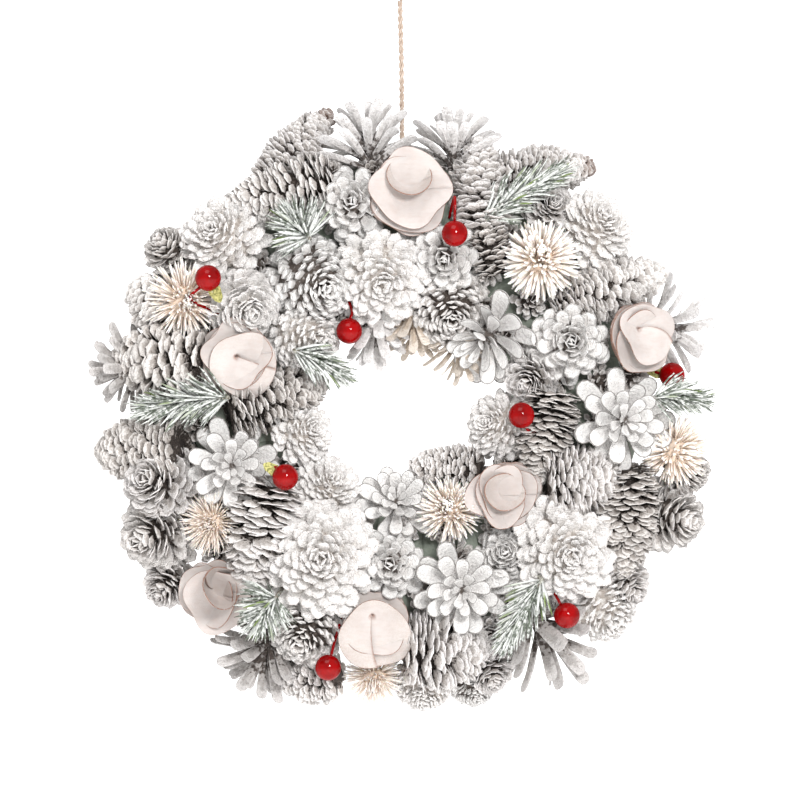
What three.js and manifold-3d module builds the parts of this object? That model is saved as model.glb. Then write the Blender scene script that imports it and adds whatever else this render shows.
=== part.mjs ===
// A preserved winter wreath: frosted cones, shaved-wood roses, thistle balls, red berries and needle
// sprays on a wrapped half-round ring that hangs by a jute twine. Millimetres, +Z up, front facing -Y.
// The origin is the top of the twine's loop, the point that the wreath hangs from.
import * as THREE from "three";
import { mergeVertices } from "three/addons/utils/BufferGeometryUtils.js";
import Module from "manifold-3d";

const wasm = await Module();
wasm.setup();

// Driving dimensions
const WREATH_DROP = 262; // from the hanging point down to the ring's centre
const RING_RADIUS = 102; // to the middle of the ring's width
const RING_HALF_WIDTH = 38;
const RING_THICKNESS = 30;
const RING_BACK = 16; // y of the ring's flat back
const RING_SEGMENTS = 30;
const RING_DOME_STEPS = 5;
const WRAP_RELIEF = 0.8; // how far each second turn of the wrap stands out
const CLEARANCE = 0.3; // between neighbouring pieces
const FOLIAGE_HALF_WIDTH = 70; // the cones bulge past both edges of the ring
const CROWDING = 1.32; // cones press into each other, so each is wider than what shows of it
const FOLIAGE_BACK_MARGIN = 0.6; // cones end this far in front of the ring's flat back
const BERRY_RADIUS = 7.4;
const WIRE_RADIUS = 0.9;
const TWINE_RADIUS = 1.55;
const TWINE_SIDES = 8;
const KNOT_RADIUS = 3.8;
const LOOP_HEIGHT = 22;
const LOOP_HALF_WIDTH = 7;
const NEEDLE_STEM_RADIUS = 1.5;
const NEEDLE_ROOT_RADIUS = 0.8;
const TIE_X = 1.2; // the twine leaves the ring this far right of its middle
const CUT_TOLERANCE = 0.05; // cuts and joins leave no sliver finer than this
const BERRY_NESTING = 4; // how deep a berry sits among the cones
const LINK_RADIUS = 3.5; // of the glued foot that joins two cones of a group
const LEAST_JOIN = 60; // mm3 that two cones of a group share without one
const STEM_SLOPE = 0.35; // how steeply a spray may droop over the cones

const FRONT = new THREE.Vector3(0, -1, 0);
const vec = (x, y, z) => new THREE.Vector3(x, y, z);

// A repeatable random draw between -1 and 1
function makeRandom(seed) {
  let state = seed;
  return () => {
    state = (state * 1664525 + 1013904223) % 4294967296;
    return (state / 4294967296) * 2 - 1;
  };
}

// Depth of the surface that the foliage sits on, at a distance from the wreath's centre
function seatDepth(distance) {
  const across = (distance - RING_RADIUS) / FOLIAGE_HALF_WIDTH;
  return RING_BACK - 2 - RING_THICKNESS * Math.sqrt(Math.max(0.02, 1 - across * across));
}

// A point over the wreath's face at (x, z), standing in front of the foliage's seat by `rise`
function placeAt([x, z], rise) {
  return vec(x, seatDepth(Math.hypot(x, z)) - rise, z);
}

// The direction that a rosette faces: forwards on the ring's crest, turned out or in at its edges
function facingAt([x, z], turn = 0.9) {
  const distance = Math.hypot(x, z);
  const tilt = THREE.MathUtils.clamp((distance - RING_RADIUS) / FOLIAGE_HALF_WIDTH, -0.9, 0.9) * turn;
  const away = vec(x / distance, 0, z / distance);
  return FRONT.clone().multiplyScalar(Math.cos(tilt)).addScaledVector(away, Math.sin(tilt)).normalize();
}

// Two directions square to `along`, the first as near to the front as it can be
function crossFrame(along) {
  const hint = Math.abs(along.y) > 0.95 ? vec(0, 0, 1) : FRONT;
  const side = hint.clone().addScaledVector(along, -hint.dot(along)).normalize();
  return { side, other: along.clone().cross(side) };
}

function solidFrom(positions, triangles) {
  const mesh = new wasm.Mesh({
    numProp: 3,
    vertProperties: new Float32Array(positions),
    triVerts: new Uint32Array(triangles),
    tolerance: CUT_TOLERANCE,
  });
  return new wasm.Manifold(mesh);
}

function solidFromGeometry(geometry) {
  const bare = geometry.clone();
  bare.deleteAttribute("normal");
  bare.deleteAttribute("uv");
  const merged = mergeVertices(bare, 1e-3);
  return solidFrom(merged.attributes.position.array, merged.index.array);
}

function geometryFrom(solid) {
  const mesh = solid.getMesh();
  const geometry = new THREE.BufferGeometry();
  geometry.setAttribute("position", new THREE.BufferAttribute(new Float32Array(mesh.vertProperties), 3));
  geometry.setIndex(new THREE.BufferAttribute(new Uint32Array(mesh.triVerts), 1));
  geometry.computeVertexNormals();
  return geometry;
}

// Drops the loose scraps that a cut leaves
function largestBody(solid) {
  const bodies = solid.decompose();
  return bodies.reduce((best, body) => (body.volume() > best.volume() ? body : best));
}

// A closed body of staggered rings whose diamond-shaped cells each rise into one scale, petal, spine or
// needle. rings: [{ centre, radius, along }], around: cells in a ring. shapeOf(cell) gives the outline
// points of the cell's scale, from left to right, and perhaps a point under it that makes it thick. A cell
// without an outline stays flat.
function scaledBody(rings, around, shapeOf) {
  const points = [];
  const triangles = [];
  const step = (2 * Math.PI) / around;
  const at = (ring, i) => ring * around + ((i + around) % around);
  rings.forEach((ring, j) => {
    const { side, other } = crossFrame(ring.along);
    for (let i = 0; i < around; i++) {
      const angle = (i + (j % 2) / 2) * step;
      const point = ring.centre.clone();
      point.addScaledVector(side, Math.cos(angle) * ring.radius);
      points.push(point.addScaledVector(other, Math.sin(angle) * ring.radius));
    }
  });
  const add = (point) => points.push(point) - 1;
  for (let j = 1; j < rings.length - 1; j++) {
    for (let i = 0; i < around; i++) {
      const odd = j % 2;
      const left = at(j, i);
      const right = at(j, i + 1);
      const below = at(j - 1, i + odd);
      const above = at(j + 1, i + odd);
      const across = points[right].clone().sub(points[left]);
      const up = points[above].clone().sub(points[below]);
      const middle = points[left].clone().add(points[right]).add(points[below]).add(points[above]);
      const cell = {
        ring: j,
        index: i,
        middle: middle.multiplyScalar(0.25),
        normal: across.clone().cross(up).normalize(),
        up: up.normalize(),
        across: across.normalize(),
      };
      const { outline, under } = shapeOf(cell) ?? {};
      if (!outline) {
        triangles.push(left, below, above, below, right, above);
        continue;
      }
      const tips = outline.map(add);
      const last = tips.length - 1;
      triangles.push(above, left, tips[0]);
      for (let k = 0; k < last; k++) triangles.push(above, tips[k], tips[k + 1]);
      triangles.push(above, tips[last], right);
      if (under) {
        const root = add(under);
        triangles.push(left, below, root, below, right, root, left, root, tips[0]);
        for (let k = 0; k < last; k++) triangles.push(tips[k], root, tips[k + 1]);
        triangles.push(right, tips[last], root);
      } else {
        triangles.push(left, below, tips[0], below, right, tips[0]);
      }
    }
  }
  const end = rings.length - 1;
  const start = add(rings[0].cap ?? rings[0].centre.clone());
  const finish = add(rings[end].cap ?? rings[end].centre.clone());
  for (let i = 0; i < around; i++) {
    triangles.push(at(0, i), at(0, i + 1), at(1, i), start, at(0, i + 1), at(0, i));
    const odd = end % 2;
    triangles.push(at(end, i), at(end - 1, i + odd), at(end, i + 1), finish, at(end, i), at(end, i + 1));
  }
  return solidFrom(points.flatMap((p) => p.toArray()), triangles);
}

// Rings of a body along a straight axis, from a profile of [distance along, radius]
function ringsAlong(base, along, profile) {
  return profile.map(([distance, radius]) => ({
    centre: base.clone().addScaledVector(along, distance),
    radius,
    along,
  }));
}

// A pointed scale, lifted off the body and leaning towards the cone's tip
function pointedScale(lift, lean, random) {
  return (cell) => {
    const tip = cell.middle.clone();
    tip.addScaledVector(cell.normal, lift * (1 + 0.15 * random()));
    tip.addScaledVector(cell.up, lean * (1 + 0.15 * random()));
    return { outline: [tip] };
  };
}

// A spruce cone lying on its side
function lyingCone({ base, tip, radius, rise = 0, around = 6, rows, seed }) {
  const from = placeAt(base, radius * 0.45 + rise);
  const to = placeAt(tip, radius * 0.35 + rise);
  const along = to.clone().sub(from).normalize();
  const length = from.distanceTo(to);
  const profile = [];
  for (let j = 0; j <= rows; j++) {
    const t = j / rows;
    profile.push([t * length, radius * 0.78 * Math.sin(Math.PI * (0.2 + 0.73 * t)) ** 0.8]);
  }
  const rings = ringsAlong(from, along, profile);
  rings[rows].cap = to.clone().addScaledVector(along, radius * 0.15);
  const solid = scaledBody(rings, around, pointedScale(radius * 0.24, length / rows, makeRandom(seed)));
  return { solid, from, to, radius, taper: 0.5, yields: 0.6 };
}

// A round cone seen end on, its scales opening away from the middle
function rosetteCone({ at, radius, rise = 0, around = 7, rows = 4, seed = 1 }) {
  const centre = placeAt(at, radius * 0.45 + rise);
  const along = facingAt(at, 0.9);
  const profile = [];
  for (let j = 0; j <= rows; j++) {
    const angle = THREE.MathUtils.lerp(2.35, 0.2, j / rows);
    profile.push([radius * 0.7 * Math.cos(angle), radius * 0.84 * Math.sin(angle)]);
  }
  const rings = ringsAlong(centre, along, profile);
  const solid = scaledBody(rings, around, pointedScale(radius * 0.2, -radius * 0.1, makeRandom(seed)));
  const half = along.clone().multiplyScalar(radius * 0.1);
  const from = centre.clone().sub(half);
  return { solid, from, to: centre.clone().add(half), radius, taper: 1, yields: 0.5 };
}

// A wide-open cone seen face on, its scales spread like petals
function petalledCone({ at, radius, rise = 0, around = 8, seed = 1 }) {
  const centre = placeAt(at, radius * 0.3 + rise);
  const along = facingAt(at, 0.5);
  const profile = [
    [-radius * 0.3, radius * 0.2],
    [-radius * 0.1, radius * 0.34],
    [radius * 0.12, radius * 0.31],
    [radius * 0.3, radius * 0.22],
    [radius * 0.44, radius * 0.07],
  ];
  const reach = [0, 0.98, 0.78, 0.46];
  const height = [0, -0.1, 0.24, 0.54];
  const random = makeRandom(seed);
  const rings = ringsAlong(centre, along, profile);
  const solid = scaledBody(rings, around, (cell) => {
    const away = cell.middle.clone().sub(centre);
    away.addScaledVector(along, -away.dot(along)).normalize();
    const long = radius * reach[cell.ring] * (1 + 0.05 * random());
    const level = radius * height[cell.ring];
    const across = along.clone().cross(away);
    const halfWidth = Math.min(radius * 0.17, long * Math.tan(Math.PI / around) * 0.86);
    const point = (out, side, drop) =>
      centre
        .clone()
        .addScaledVector(away, out)
        .addScaledVector(across, side)
        .addScaledVector(along, level - drop);
    return {
      outline: [point(long * 0.9, -halfWidth, 0), point(long, 0, 0), point(long * 0.9, halfWidth, 0)],
      under: point(long * 0.8, 0, 1.4),
    };
  });
  const to = centre.clone().addScaledVector(along, 1);
  return { solid, from: centre, to, radius, taper: 1, yields: 0.25 };
}

// A dried open cone seen from the side, its strap-like scales fanning out from the base
function strapCone({ base, tip, radius, rise = 0, around = 6, seed }) {
  const rows = 3;
  const from = placeAt(base, rise + 4);
  const to = placeAt(tip, rise + 2);
  const along = to.clone().sub(from).normalize();
  const length = from.distanceTo(to);
  const profile = [];
  for (let j = 0; j <= rows; j++) {
    const t = j / rows;
    profile.push([t * length * 0.6, radius * (0.34 - 0.2 * t)]);
  }
  const random = makeRandom(seed);
  const solid = scaledBody(ringsAlong(from, along, profile), around, (cell) => {
    const opening = THREE.MathUtils.lerp(1.15, 0.35, cell.ring / (rows - 1)) + 0.08 * random();
    const direction = along.clone().multiplyScalar(Math.cos(opening));
    direction.addScaledVector(cell.normal, Math.sin(opening)).normalize();
    const long = Math.min(radius / Math.sin(opening), length * 0.62) * (0.92 + 0.06 * random());
    const end = cell.middle.clone().addScaledVector(direction, long);
    const baseward = cell.normal.clone().multiplyScalar(Math.cos(opening));
    baseward.addScaledVector(along, -Math.sin(opening));
    const halfWidth = radius * 0.17;
    return {
      outline: [
        end.clone().addScaledVector(cell.across, -halfWidth),
        end.clone().addScaledVector(direction, halfWidth * 0.6),
        end.clone().addScaledVector(cell.across, halfWidth),
      ],
      under: end.clone().addScaledVector(direction, -2).addScaledVector(baseward, 1.4),
    };
  });
  return { solid, from, to, radius: radius * 0.9, taper: 0.9, yields: 0.6 };
}

// A rose of shaved wood: three rounds of wide petals about a rolled cup, on a pointed calyx
function rose({ at, radius, rise }) {
  const petals = 5;
  const centre = placeAt(at, radius * 0.1 + rise);
  const along = facingAt(at, 0.6);
  const profile = [
    [-radius * 0.2, radius * 0.34],
    [0, radius * 0.44],
    [radius * 0.16, radius * 0.46],
    [radius * 0.32, radius * 0.42],
    [radius * 0.62, radius * 0.36],
  ];
  const reach = [0, 0.98, 0.84, 0.58];
  const level = [0, 0.12, 0.38, 0.66];
  const rings = ringsAlong(centre, along, profile);
  rings[0].cap = centre.clone().addScaledVector(along, -radius * 1.25);
  rings[4].cap = centre.clone().addScaledVector(along, radius * 0.3);
  const { side, other } = crossFrame(along);
  const solid = scaledBody(rings, petals, (cell) => {
    const middle = ((cell.index + (cell.ring % 2) / 2 + 0.5) / petals) * 2 * Math.PI;
    const long = radius * reach[cell.ring];
    const point = (angle, out, forward) =>
      centre
        .clone()
        .addScaledVector(side, Math.cos(middle + angle) * out)
        .addScaledVector(other, Math.sin(middle + angle) * out)
        .addScaledVector(along, forward);
    const high = radius * level[cell.ring];
    return {
      outline: [
        point(-0.6, long * 0.86, high + radius * 0.05),
        point(-0.3, long * 0.98, high),
        point(0, long, high - radius * 0.03),
        point(0.3, long * 0.98, high),
        point(0.6, long * 0.86, high + radius * 0.05),
      ],
      under: point(0, long * 0.72, high - radius * 0.14),
    };
  });
  const front = centre.clone().addScaledVector(along, radius * 0.3);
  return { solid, from: centre, to: front, radius: radius * 0.98, taper: 0.8, yields: 0.12 };
}

// A dried thistle: a ball of stiff spines
function thistle({ at, radius, rise = 0, around = 8, rows = 6, seed = 1 }) {
  const centre = placeAt(at, radius * 0.4 + rise);
  const along = facingAt(at, 0.7);
  const core = radius * 0.52;
  const profile = [];
  for (let j = 0; j <= rows; j++) {
    const angle = THREE.MathUtils.lerp(2.5, 0.24, j / rows);
    profile.push([core * Math.cos(angle), core * Math.sin(angle)]);
  }
  const random = makeRandom(seed);
  const solid = scaledBody(ringsAlong(centre, along, profile), around, (cell) => {
    const away = cell.middle.clone().sub(centre).normalize();
    away.addScaledVector(cell.across, 0.08 * random()).addScaledVector(cell.up, 0.08 * random()).normalize();
    return { outline: [centre.clone().addScaledVector(away, radius * (0.96 + 0.06 * random()))] };
  });
  const half = along.clone().multiplyScalar(0.5);
  return {
    solid,
    from: centre.clone().sub(half),
    to: centre.clone().add(half),
    radius: radius * 0.9,
    taper: 1,
    yields: 0.3,
  };
}

// The closed cones, fused where they grow into each other. Places are [x, z] from the wreath's centre.
const CONE_GROUPS = {
  spruce_cones_11: [
    ["lying", { base: [-74, 129], tip: [-43, 166], radius: 13.5, rows: 6 }],
    ["lying", { base: [-39, 129], tip: [-99, 111], radius: 14, rows: 7 }],
  ],
  frosted_cones_10: [
    ["rosette", { at: [-101, 94], radius: 21, rows: 5, around: 9 }],
    ["rosette", { at: [-89, 57], radius: 17.5, rise: 3 }],
    ["rosette", { at: [-135, 90], radius: 14.5, around: 6 }],
    ["lying", { base: [-132, 50], tip: [-150, 66], radius: 13, rows: 4 }],
  ],
  frosted_cones_inner_10: [
    ["rosette", { at: [-50, 70], radius: 20, rows: 5, around: 8 }],
    ["rosette", { at: [-54, 38], radius: 17.5 }],
  ],
  glitter_cones_12: [
    ["rosette", { at: [-27, 113], radius: 17 }],
    ["rosette", { at: [-11, 72], radius: 23, rows: 5, around: 9, rise: 2 }],
    ["strap", { base: [-12, 54], tip: [-15, 28], radius: 10, around: 5 }],
    ["strap", { base: [-17, 134], tip: [-19, 170], radius: 15 }],
  ],
  frosted_cones_inner_1: [
    ["rosette", { at: [26, 84], radius: 18 }],
    ["rosette", { at: [29, 54], radius: 18 }],
    ["strap", { base: [31, 42], tip: [41, 12], radius: 10, around: 5 }],
  ],
  spruce_cones_1: [
    ["lying", { base: [47, 98], tip: [46, 148], radius: 14, rows: 6 }],
    ["lying", { base: [57, 130], tip: [108, 135], radius: 12.5, rows: 6 }],
    ["strap", { base: [30, 134], tip: [33, 164], radius: 23 }],
  ],
  spruce_cones_2: [
    ["lying", { base: [100, 59], tip: [149, 75], radius: 13.5, rows: 6 }],
    ["rosette", { at: [113, 101], radius: 18.5 }],
  ],
  frosted_cones_3: [
    ["rosette", { at: [97, 35], radius: 18, rise: 2 }],
    ["rosette", { at: [75, 14], radius: 14, around: 6 }],
  ],
  spruce_cone_9: [
    ["lying", { base: [-112, 23], tip: [-157, 25], radius: 16, rows: 5 }],
    ["strap", { base: [-147, 20], tip: [-172, 16], radius: 20 }],
  ],
  frosted_cones_8_30: [
    ["lying", { base: [-126, -26], tip: [-170, -28], radius: 15.5, rows: 5 }],
    ["rosette", { at: [-137, -45], radius: 19, rise: 2 }],
  ],
  dark_cones_9: [
    ["lying", { base: [-98, -4], tip: [-47, 10], radius: 15, rows: 5 }],
    ["rosette", { at: [-56, -17], radius: 16, rise: 2 }],
  ],
  spruce_cone_8: [["lying", { base: [-74, -48], tip: [-86, -100], radius: 16.5, rows: 6, rise: 2 }]],
  glitter_cones_7: [
    ["rosette", { at: [-45, -89], radius: 27, around: 10, rows: 5, rise: 4 }],
    ["rosette", { at: [-42, -50], radius: 16 }],
    ["rosette", { at: [-6, -93], radius: 16 }],
  ],
  frosted_cones_8: [
    ["rosette", { at: [-140, -73], radius: 21, rows: 5, around: 8 }],
    ["rosette", { at: [-133, -103], radius: 12, around: 6 }],
  ],
  dark_cones_4: [
    ["rosette", { at: [56, -13], radius: 17 }],
    ["lying", { base: [87, 6], tip: [78, -42], radius: 14, rows: 5 }],
    ["lying", { base: [84, -45], tip: [123, -43], radius: 15.5, rows: 5, rise: 2 }],
  ],
  frosted_cones_4_30: [
    ["lying", { base: [131, -38], tip: [129, -96], radius: 14.5, rows: 6, rise: 2 }],
    ["rosette", { at: [157, -65], radius: 18 }],
    ["rosette", { at: [128, -103], radius: 13, around: 6 }],
    ["rosette", { at: [166, -40], radius: 14, around: 6 }],
  ],
  glitter_cones_5: [
    ["rosette", { at: [94, -84], radius: 25, rows: 5, around: 9, rise: 3 }],
    ["rosette", { at: [61, -88], radius: 14, around: 6 }],
    ["rosette", { at: [117, -118], radius: 16.5 }],
  ],
  frosted_cones_6_30: [
    ["rosette", { at: [-54, -130], radius: 17 }],
    ["lying", { base: [-36, -156], tip: [-64, -163], radius: 11.5, rows: 4 }],
  ],
  frosted_cones_5_30: [
    ["lying", { base: [3, -141], tip: [46, -142], radius: 17, rows: 5 }],
    ["rosette", { at: [50, -152], radius: 12, around: 6 }],
    ["rosette", { at: [42, -163], radius: 10, around: 6, rows: 3 }],
    ["rosette", { at: [14, -162], radius: 13.5, around: 6 }],
  ],
  spruce_cone_inner_5: [["lying", { base: [46, -39], tip: [9, -37], radius: 11, rows: 5 }]],
  strap_cone_2: [["strap", { base: [128, 50], tip: [180, 45], radius: 21, rise: -3 }]],
  strap_cone_5: [["strap", { base: [67, -115], tip: [104, -153], radius: 18, rise: -5 }]],
  strap_cone_7: [["strap", { base: [-72, -133], tip: [-88, -160], radius: 24 }]],
};

const PETALLED_CONES = {
  petalled_cone_1: { at: [58, 46], radius: 27, rise: 6 },
  petalled_cone_3: { at: [126, -10], radius: 28, rise: 8 },
  petalled_cone_8: { at: [-96, -36], radius: 26, rise: 8 },
  petalled_cone_6: { at: [-2, -60], radius: 23, rise: 3 },
  petalled_cone_5: { at: [35, -106], radius: 28, rise: 8 },
};

const ROSES = {
  rose_12: { at: [6, 121], radius: 24, rise: 12 },
  rose_2: { at: [135, 38], radius: 22, rise: 12 },
  rose_9: { at: [-91, 24], radius: 22, rise: 13 },
  rose_4: { at: [58, -52], radius: 20.5, rise: 13 },
  rose_7: { at: [-106, -110], radius: 19, rise: 9 },
  rose_6: { at: [-14, -130], radius: 21.5, rise: 12 },
};

const THISTLES = {
  thistle_10: { at: [-124, 59], radius: 22, rise: 5 },
  thistle_2: { at: [80, 81], radius: 22.5, rise: 7 },
  thistle_8: { at: [-107, -68], radius: 18.5, rise: 5 },
  thistle_5: { at: [29, -62], radius: 19, rise: 4 },
  thistle_6: { at: [-15, -156], radius: 17, rise: 1 },
  thistle_3: { at: [155, -28], radius: 19, rise: 5 },
};

// Each berry, and the point its wire bends back from into the wreath
const BERRIES = {
  berry_1: { at: [31, 96], bend: [31, 117] },
  berry_10: { at: [-109, 71], bend: [-119, 59] },
  berry_11: { at: [-29, 41], bend: [-28, 55] },
  berry_2: { at: [157, 16], bend: [143, 18] },
  berry_8: { at: [-65, -42], bend: [-72, -36] },
  berry_4: { at: [69, -7], bend: [74, -16] },
  berry_5: { at: [95, -121], bend: [87, -107] },
  berry_7: { at: [-41, -151], bend: [-38, -139] },
};

// Needle sprays: points that the stem passes, from its root to its tip
const SPRAYS = {
  needle_spray_11: {
    stem: [[-50, 92], [-55, 97], [-61, 103]], needle: 19, turns: 6, spread: 1.35, around: 7,
  },
  needle_spray_1: { stem: [[54, 112], [66, 119], [86, 128]], needle: 19, turns: 14, spread: 0.75 },
  needle_spray_3: { stem: [[152, 3], [160, 4], [171, 2]], needle: 14, turns: 10, spread: 0.8 },
  needle_spray_9: { stem: [[-104, 2], [-118, 2], [-142, -3]], needle: 17, turns: 15, spread: 0.85 },
  needle_spray_10: { stem: [[-56, 28], [-46, 24], [-35, 17]], needle: 16, turns: 10, spread: 0.75 },
  needle_spray_7: {
    stem: [[-70, -110], [-75, -115], [-78, -124]], needle: 17, turns: 9, spread: 1.2, around: 6,
  },
  needle_spray_5: { stem: [[79, -102], [73, -112], [63, -130]], needle: 15, turns: 14, spread: 0.8 },
};

const makers = { lying: lyingCone, rosette: rosetteCone, strap: strapCone };

// Every solid piece that may be cut back by its neighbours, with the node that it belongs to
const pieces = [];
let seed = 11;
for (const [node, members] of Object.entries(CONE_GROUPS)) {
  for (const [kind, sizes] of members) {
    seed += 7;
    pieces.push({ node, ...makers[kind]({ ...sizes, radius: sizes.radius * CROWDING, seed }) });
  }
}
for (const [node, sizes] of Object.entries(PETALLED_CONES)) pieces.push({ node, ...petalledCone(sizes) });
for (const [node, sizes] of Object.entries(ROSES)) pieces.push({ node, ...rose(sizes) });
for (const [node, sizes] of Object.entries(THISTLES)) {
  seed += 7;
  pieces.push({ node, ...thistle({ ...sizes, seed }) });
}

// The frontmost depth that a ball of this radius can take at (x, z) with every piece behind it
function frontDepth([x, z], ballRadius) {
  let depth = seatDepth(Math.hypot(x, z));
  for (const piece of pieces) {
    for (let t = 0; t <= 1; t += 0.1) {
      const centre = piece.from.clone().lerp(piece.to, t);
      const reach = piece.radius * THREE.MathUtils.lerp(1, piece.taper, t) + ballRadius;
      const gap = reach * reach - (centre.x - x) ** 2 - (centre.z - z) ** 2;
      if (gap > 0) depth = Math.min(depth, centre.y - Math.sqrt(gap));
    }
  }
  return depth;
}

// The point inside the ring that a stem or wire over (x, z) is rooted towards
function ringCore([x, z]) {
  const distance = Math.hypot(x, z);
  const room = RING_HALF_WIDTH * 0.6;
  const kept = THREE.MathUtils.clamp(distance, RING_RADIUS - room, RING_RADIUS + room) / distance;
  return vec(x * kept, RING_BACK - RING_THICKNESS * 0.4, z * kept);
}

// A rod of `sides` flat faces along a smooth path through points
function rod(points, radius, sides, steps) {
  const shape = new THREE.Shape();
  for (let k = 0; k <= sides; k++) {
    const angle = (k / sides) * 2 * Math.PI;
    const corner = [Math.cos(angle) * radius, Math.sin(angle) * radius];
    if (k === 0) shape.moveTo(...corner);
    else shape.lineTo(...corner);
  }
  const path = new THREE.CatmullRomCurve3(points, false, "centripetal");
  const geometry = new THREE.ExtrudeGeometry(shape, { steps, bevelEnabled: false, extrudePath: path });
  return solidFromGeometry(geometry);
}

// The ring's half-round section, grown all round, as points of (distance from the centre, depth)
function ringProfile(grow) {
  const profile = [];
  for (let k = 0; k <= RING_DOME_STEPS; k++) {
    const angle = Math.PI * (1 - k / RING_DOME_STEPS);
    const out = (RING_HALF_WIDTH + grow) * Math.cos(angle);
    const depth = (RING_THICKNESS + grow) * Math.sin(angle);
    const isEdge = k % RING_DOME_STEPS === 0;
    profile.push(new THREE.Vector2(RING_RADIUS + out, RING_BACK - depth + (isEdge ? grow : 0)));
  }
  return [...profile, profile[0].clone()];
}

// The wrapped ring, its section turned about Y, with each second turn of the wrap standing out
function ringSolid(grow) {
  const profile = ringProfile(grow);
  const geometry = new THREE.LatheGeometry(profile, RING_SEGMENTS);
  const position = geometry.attributes.position;
  for (let i = 0; i < position.count; i++) {
    const onDome = position.getY(i) < RING_BACK - 1;
    const turn = Math.floor(i / profile.length) % RING_SEGMENTS;
    if (onDome && turn % 2) position.setY(i, position.getY(i) - WRAP_RELIEF);
  }
  return solidFromGeometry(geometry);
}

// A band that follows the ring's section at its top, from one depth under its surface to another
function sectionBand(shallow, deep, width) {
  const shape = new THREE.Shape(ringProfile(-shallow));
  shape.holes.push(new THREE.Path(ringProfile(-deep)));
  const geometry = new THREE.ExtrudeGeometry(shape, { depth: width, bevelEnabled: false });
  const toSection = new THREE.Matrix4().makeBasis(vec(0, 0, 1), vec(0, 1, 0), vec(-1, 0, 0));
  geometry.applyMatrix4(toSection.setPosition(TIE_X + width / 2, 0, 0));
  return solidFromGeometry(geometry);
}

function knotBall(centre, radius) {
  return solidFromGeometry(new THREE.SphereGeometry(radius, 7, 5).translate(...centre.toArray()));
}

const tieAngle = Math.PI * 0.2;
const tieKnot = vec(
  TIE_X,
  RING_BACK - RING_THICKNESS * Math.sin(tieAngle),
  RING_RADIUS + RING_HALF_WIDTH * Math.cos(tieAngle) + KNOT_RADIUS * 0.5,
);
const tie = sectionBand(0.1, 2 * TWINE_RADIUS, 2 * TWINE_RADIUS).add(knotBall(tieKnot, KNOT_RADIUS));
const slot = sectionBand(-1, 2 * TWINE_RADIUS + CLEARANCE, 2 * (TWINE_RADIUS + CLEARANCE));
const tieRoom = slot.add(knotBall(tieKnot, KNOT_RADIUS + 2 * CLEARANCE));

// The twine, taut from its knot on the ring to the knot of the loop that it hangs by
const loopKnot = vec(0, 0, WREATH_DROP - LOOP_HEIGHT - KNOT_RADIUS);
const twineEnds = [
  tieKnot.clone().add(vec(0, 0, KNOT_RADIUS + CLEARANCE)),
  loopKnot.clone().add(vec(0, 0, -KNOT_RADIUS - CLEARANCE)),
];
const twineMiddle = twineEnds[0].clone().lerp(twineEnds[1], 0.5).add(vec(0.4, 0, 0));
const twinePath = [twineEnds[0], twineMiddle, twineEnds[1]];
const twineSteps = 12;
const twine = rod(twinePath, TWINE_RADIUS, TWINE_SIDES, twineSteps);
const twineRoom = rod(twinePath, TWINE_RADIUS + CLEARANCE, TWINE_SIDES, twineSteps);

// The loop, a drop-shaped turn that starts and ends in its knot
function loopPoints() {
  const middle = WREATH_DROP - TWINE_RADIUS;
  const points = [loopKnot.clone()];
  for (const [side, share] of [[0.75, 0.35], [1, 0.7], [0.55, 0.94], [0, 1], [-0.55, 0.94], [-1, 0.7], [-0.75, 0.35]]) {
    points.push(vec(side * LOOP_HALF_WIDTH, 0, THREE.MathUtils.lerp(loopKnot.z, middle, share)));
  }
  points.push(loopKnot.clone().add(vec(-0.4, 0, 0.4)));
  return points;
}
const loop = rod(loopPoints(), TWINE_RADIUS, TWINE_SIDES, 10).add(knotBall(loopKnot, KNOT_RADIUS));

const ring = ringSolid(0).subtract(tieRoom);
const ringRoom = ringSolid(CLEARANCE);

// Whether a ball at a point would stand inside one of the pieces
function insidePiece(point, radius) {
  return pieces.some((piece) => {
    const axis = piece.to.clone().sub(piece.from);
    const t = THREE.MathUtils.clamp(point.clone().sub(piece.from).dot(axis) / axis.lengthSq(), 0, 1);
    const reach = piece.radius * THREE.MathUtils.lerp(1, piece.taper, t) + radius;
    return point.distanceTo(piece.from.clone().addScaledVector(axis, t)) < reach;
  });
}

// A needle's direction, bent forwards until it passes in front of the pieces around it, or null
function clearDirection(base, direction, length) {
  for (let bend = 0; bend < 2.5; bend += 0.25) {
    const bent = direction.clone().addScaledVector(FRONT, bend).normalize();
    const blocked = [0.4, 0.7, 1].some((share) => {
      return insidePiece(base.clone().addScaledVector(bent, length * share), 0.8);
    });
    if (!blocked) return bent;
  }
  return null;
}

// Whether two needles, thick at their roots and pointed at their tips, would meet
function needlesMeet(a, b) {
  for (let s = 0.05; s <= 1; s += 0.095) {
    const p = a.base.clone().addScaledVector(a.direction, a.length * s);
    for (let t = 0.05; t <= 1; t += 0.095) {
      const q = b.base.clone().addScaledVector(b.direction, b.length * t);
      if (p.distanceTo(q) < 0.5 + NEEDLE_ROOT_RADIUS * (2 - s - t)) return true;
    }
  }
  return false;
}

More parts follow.
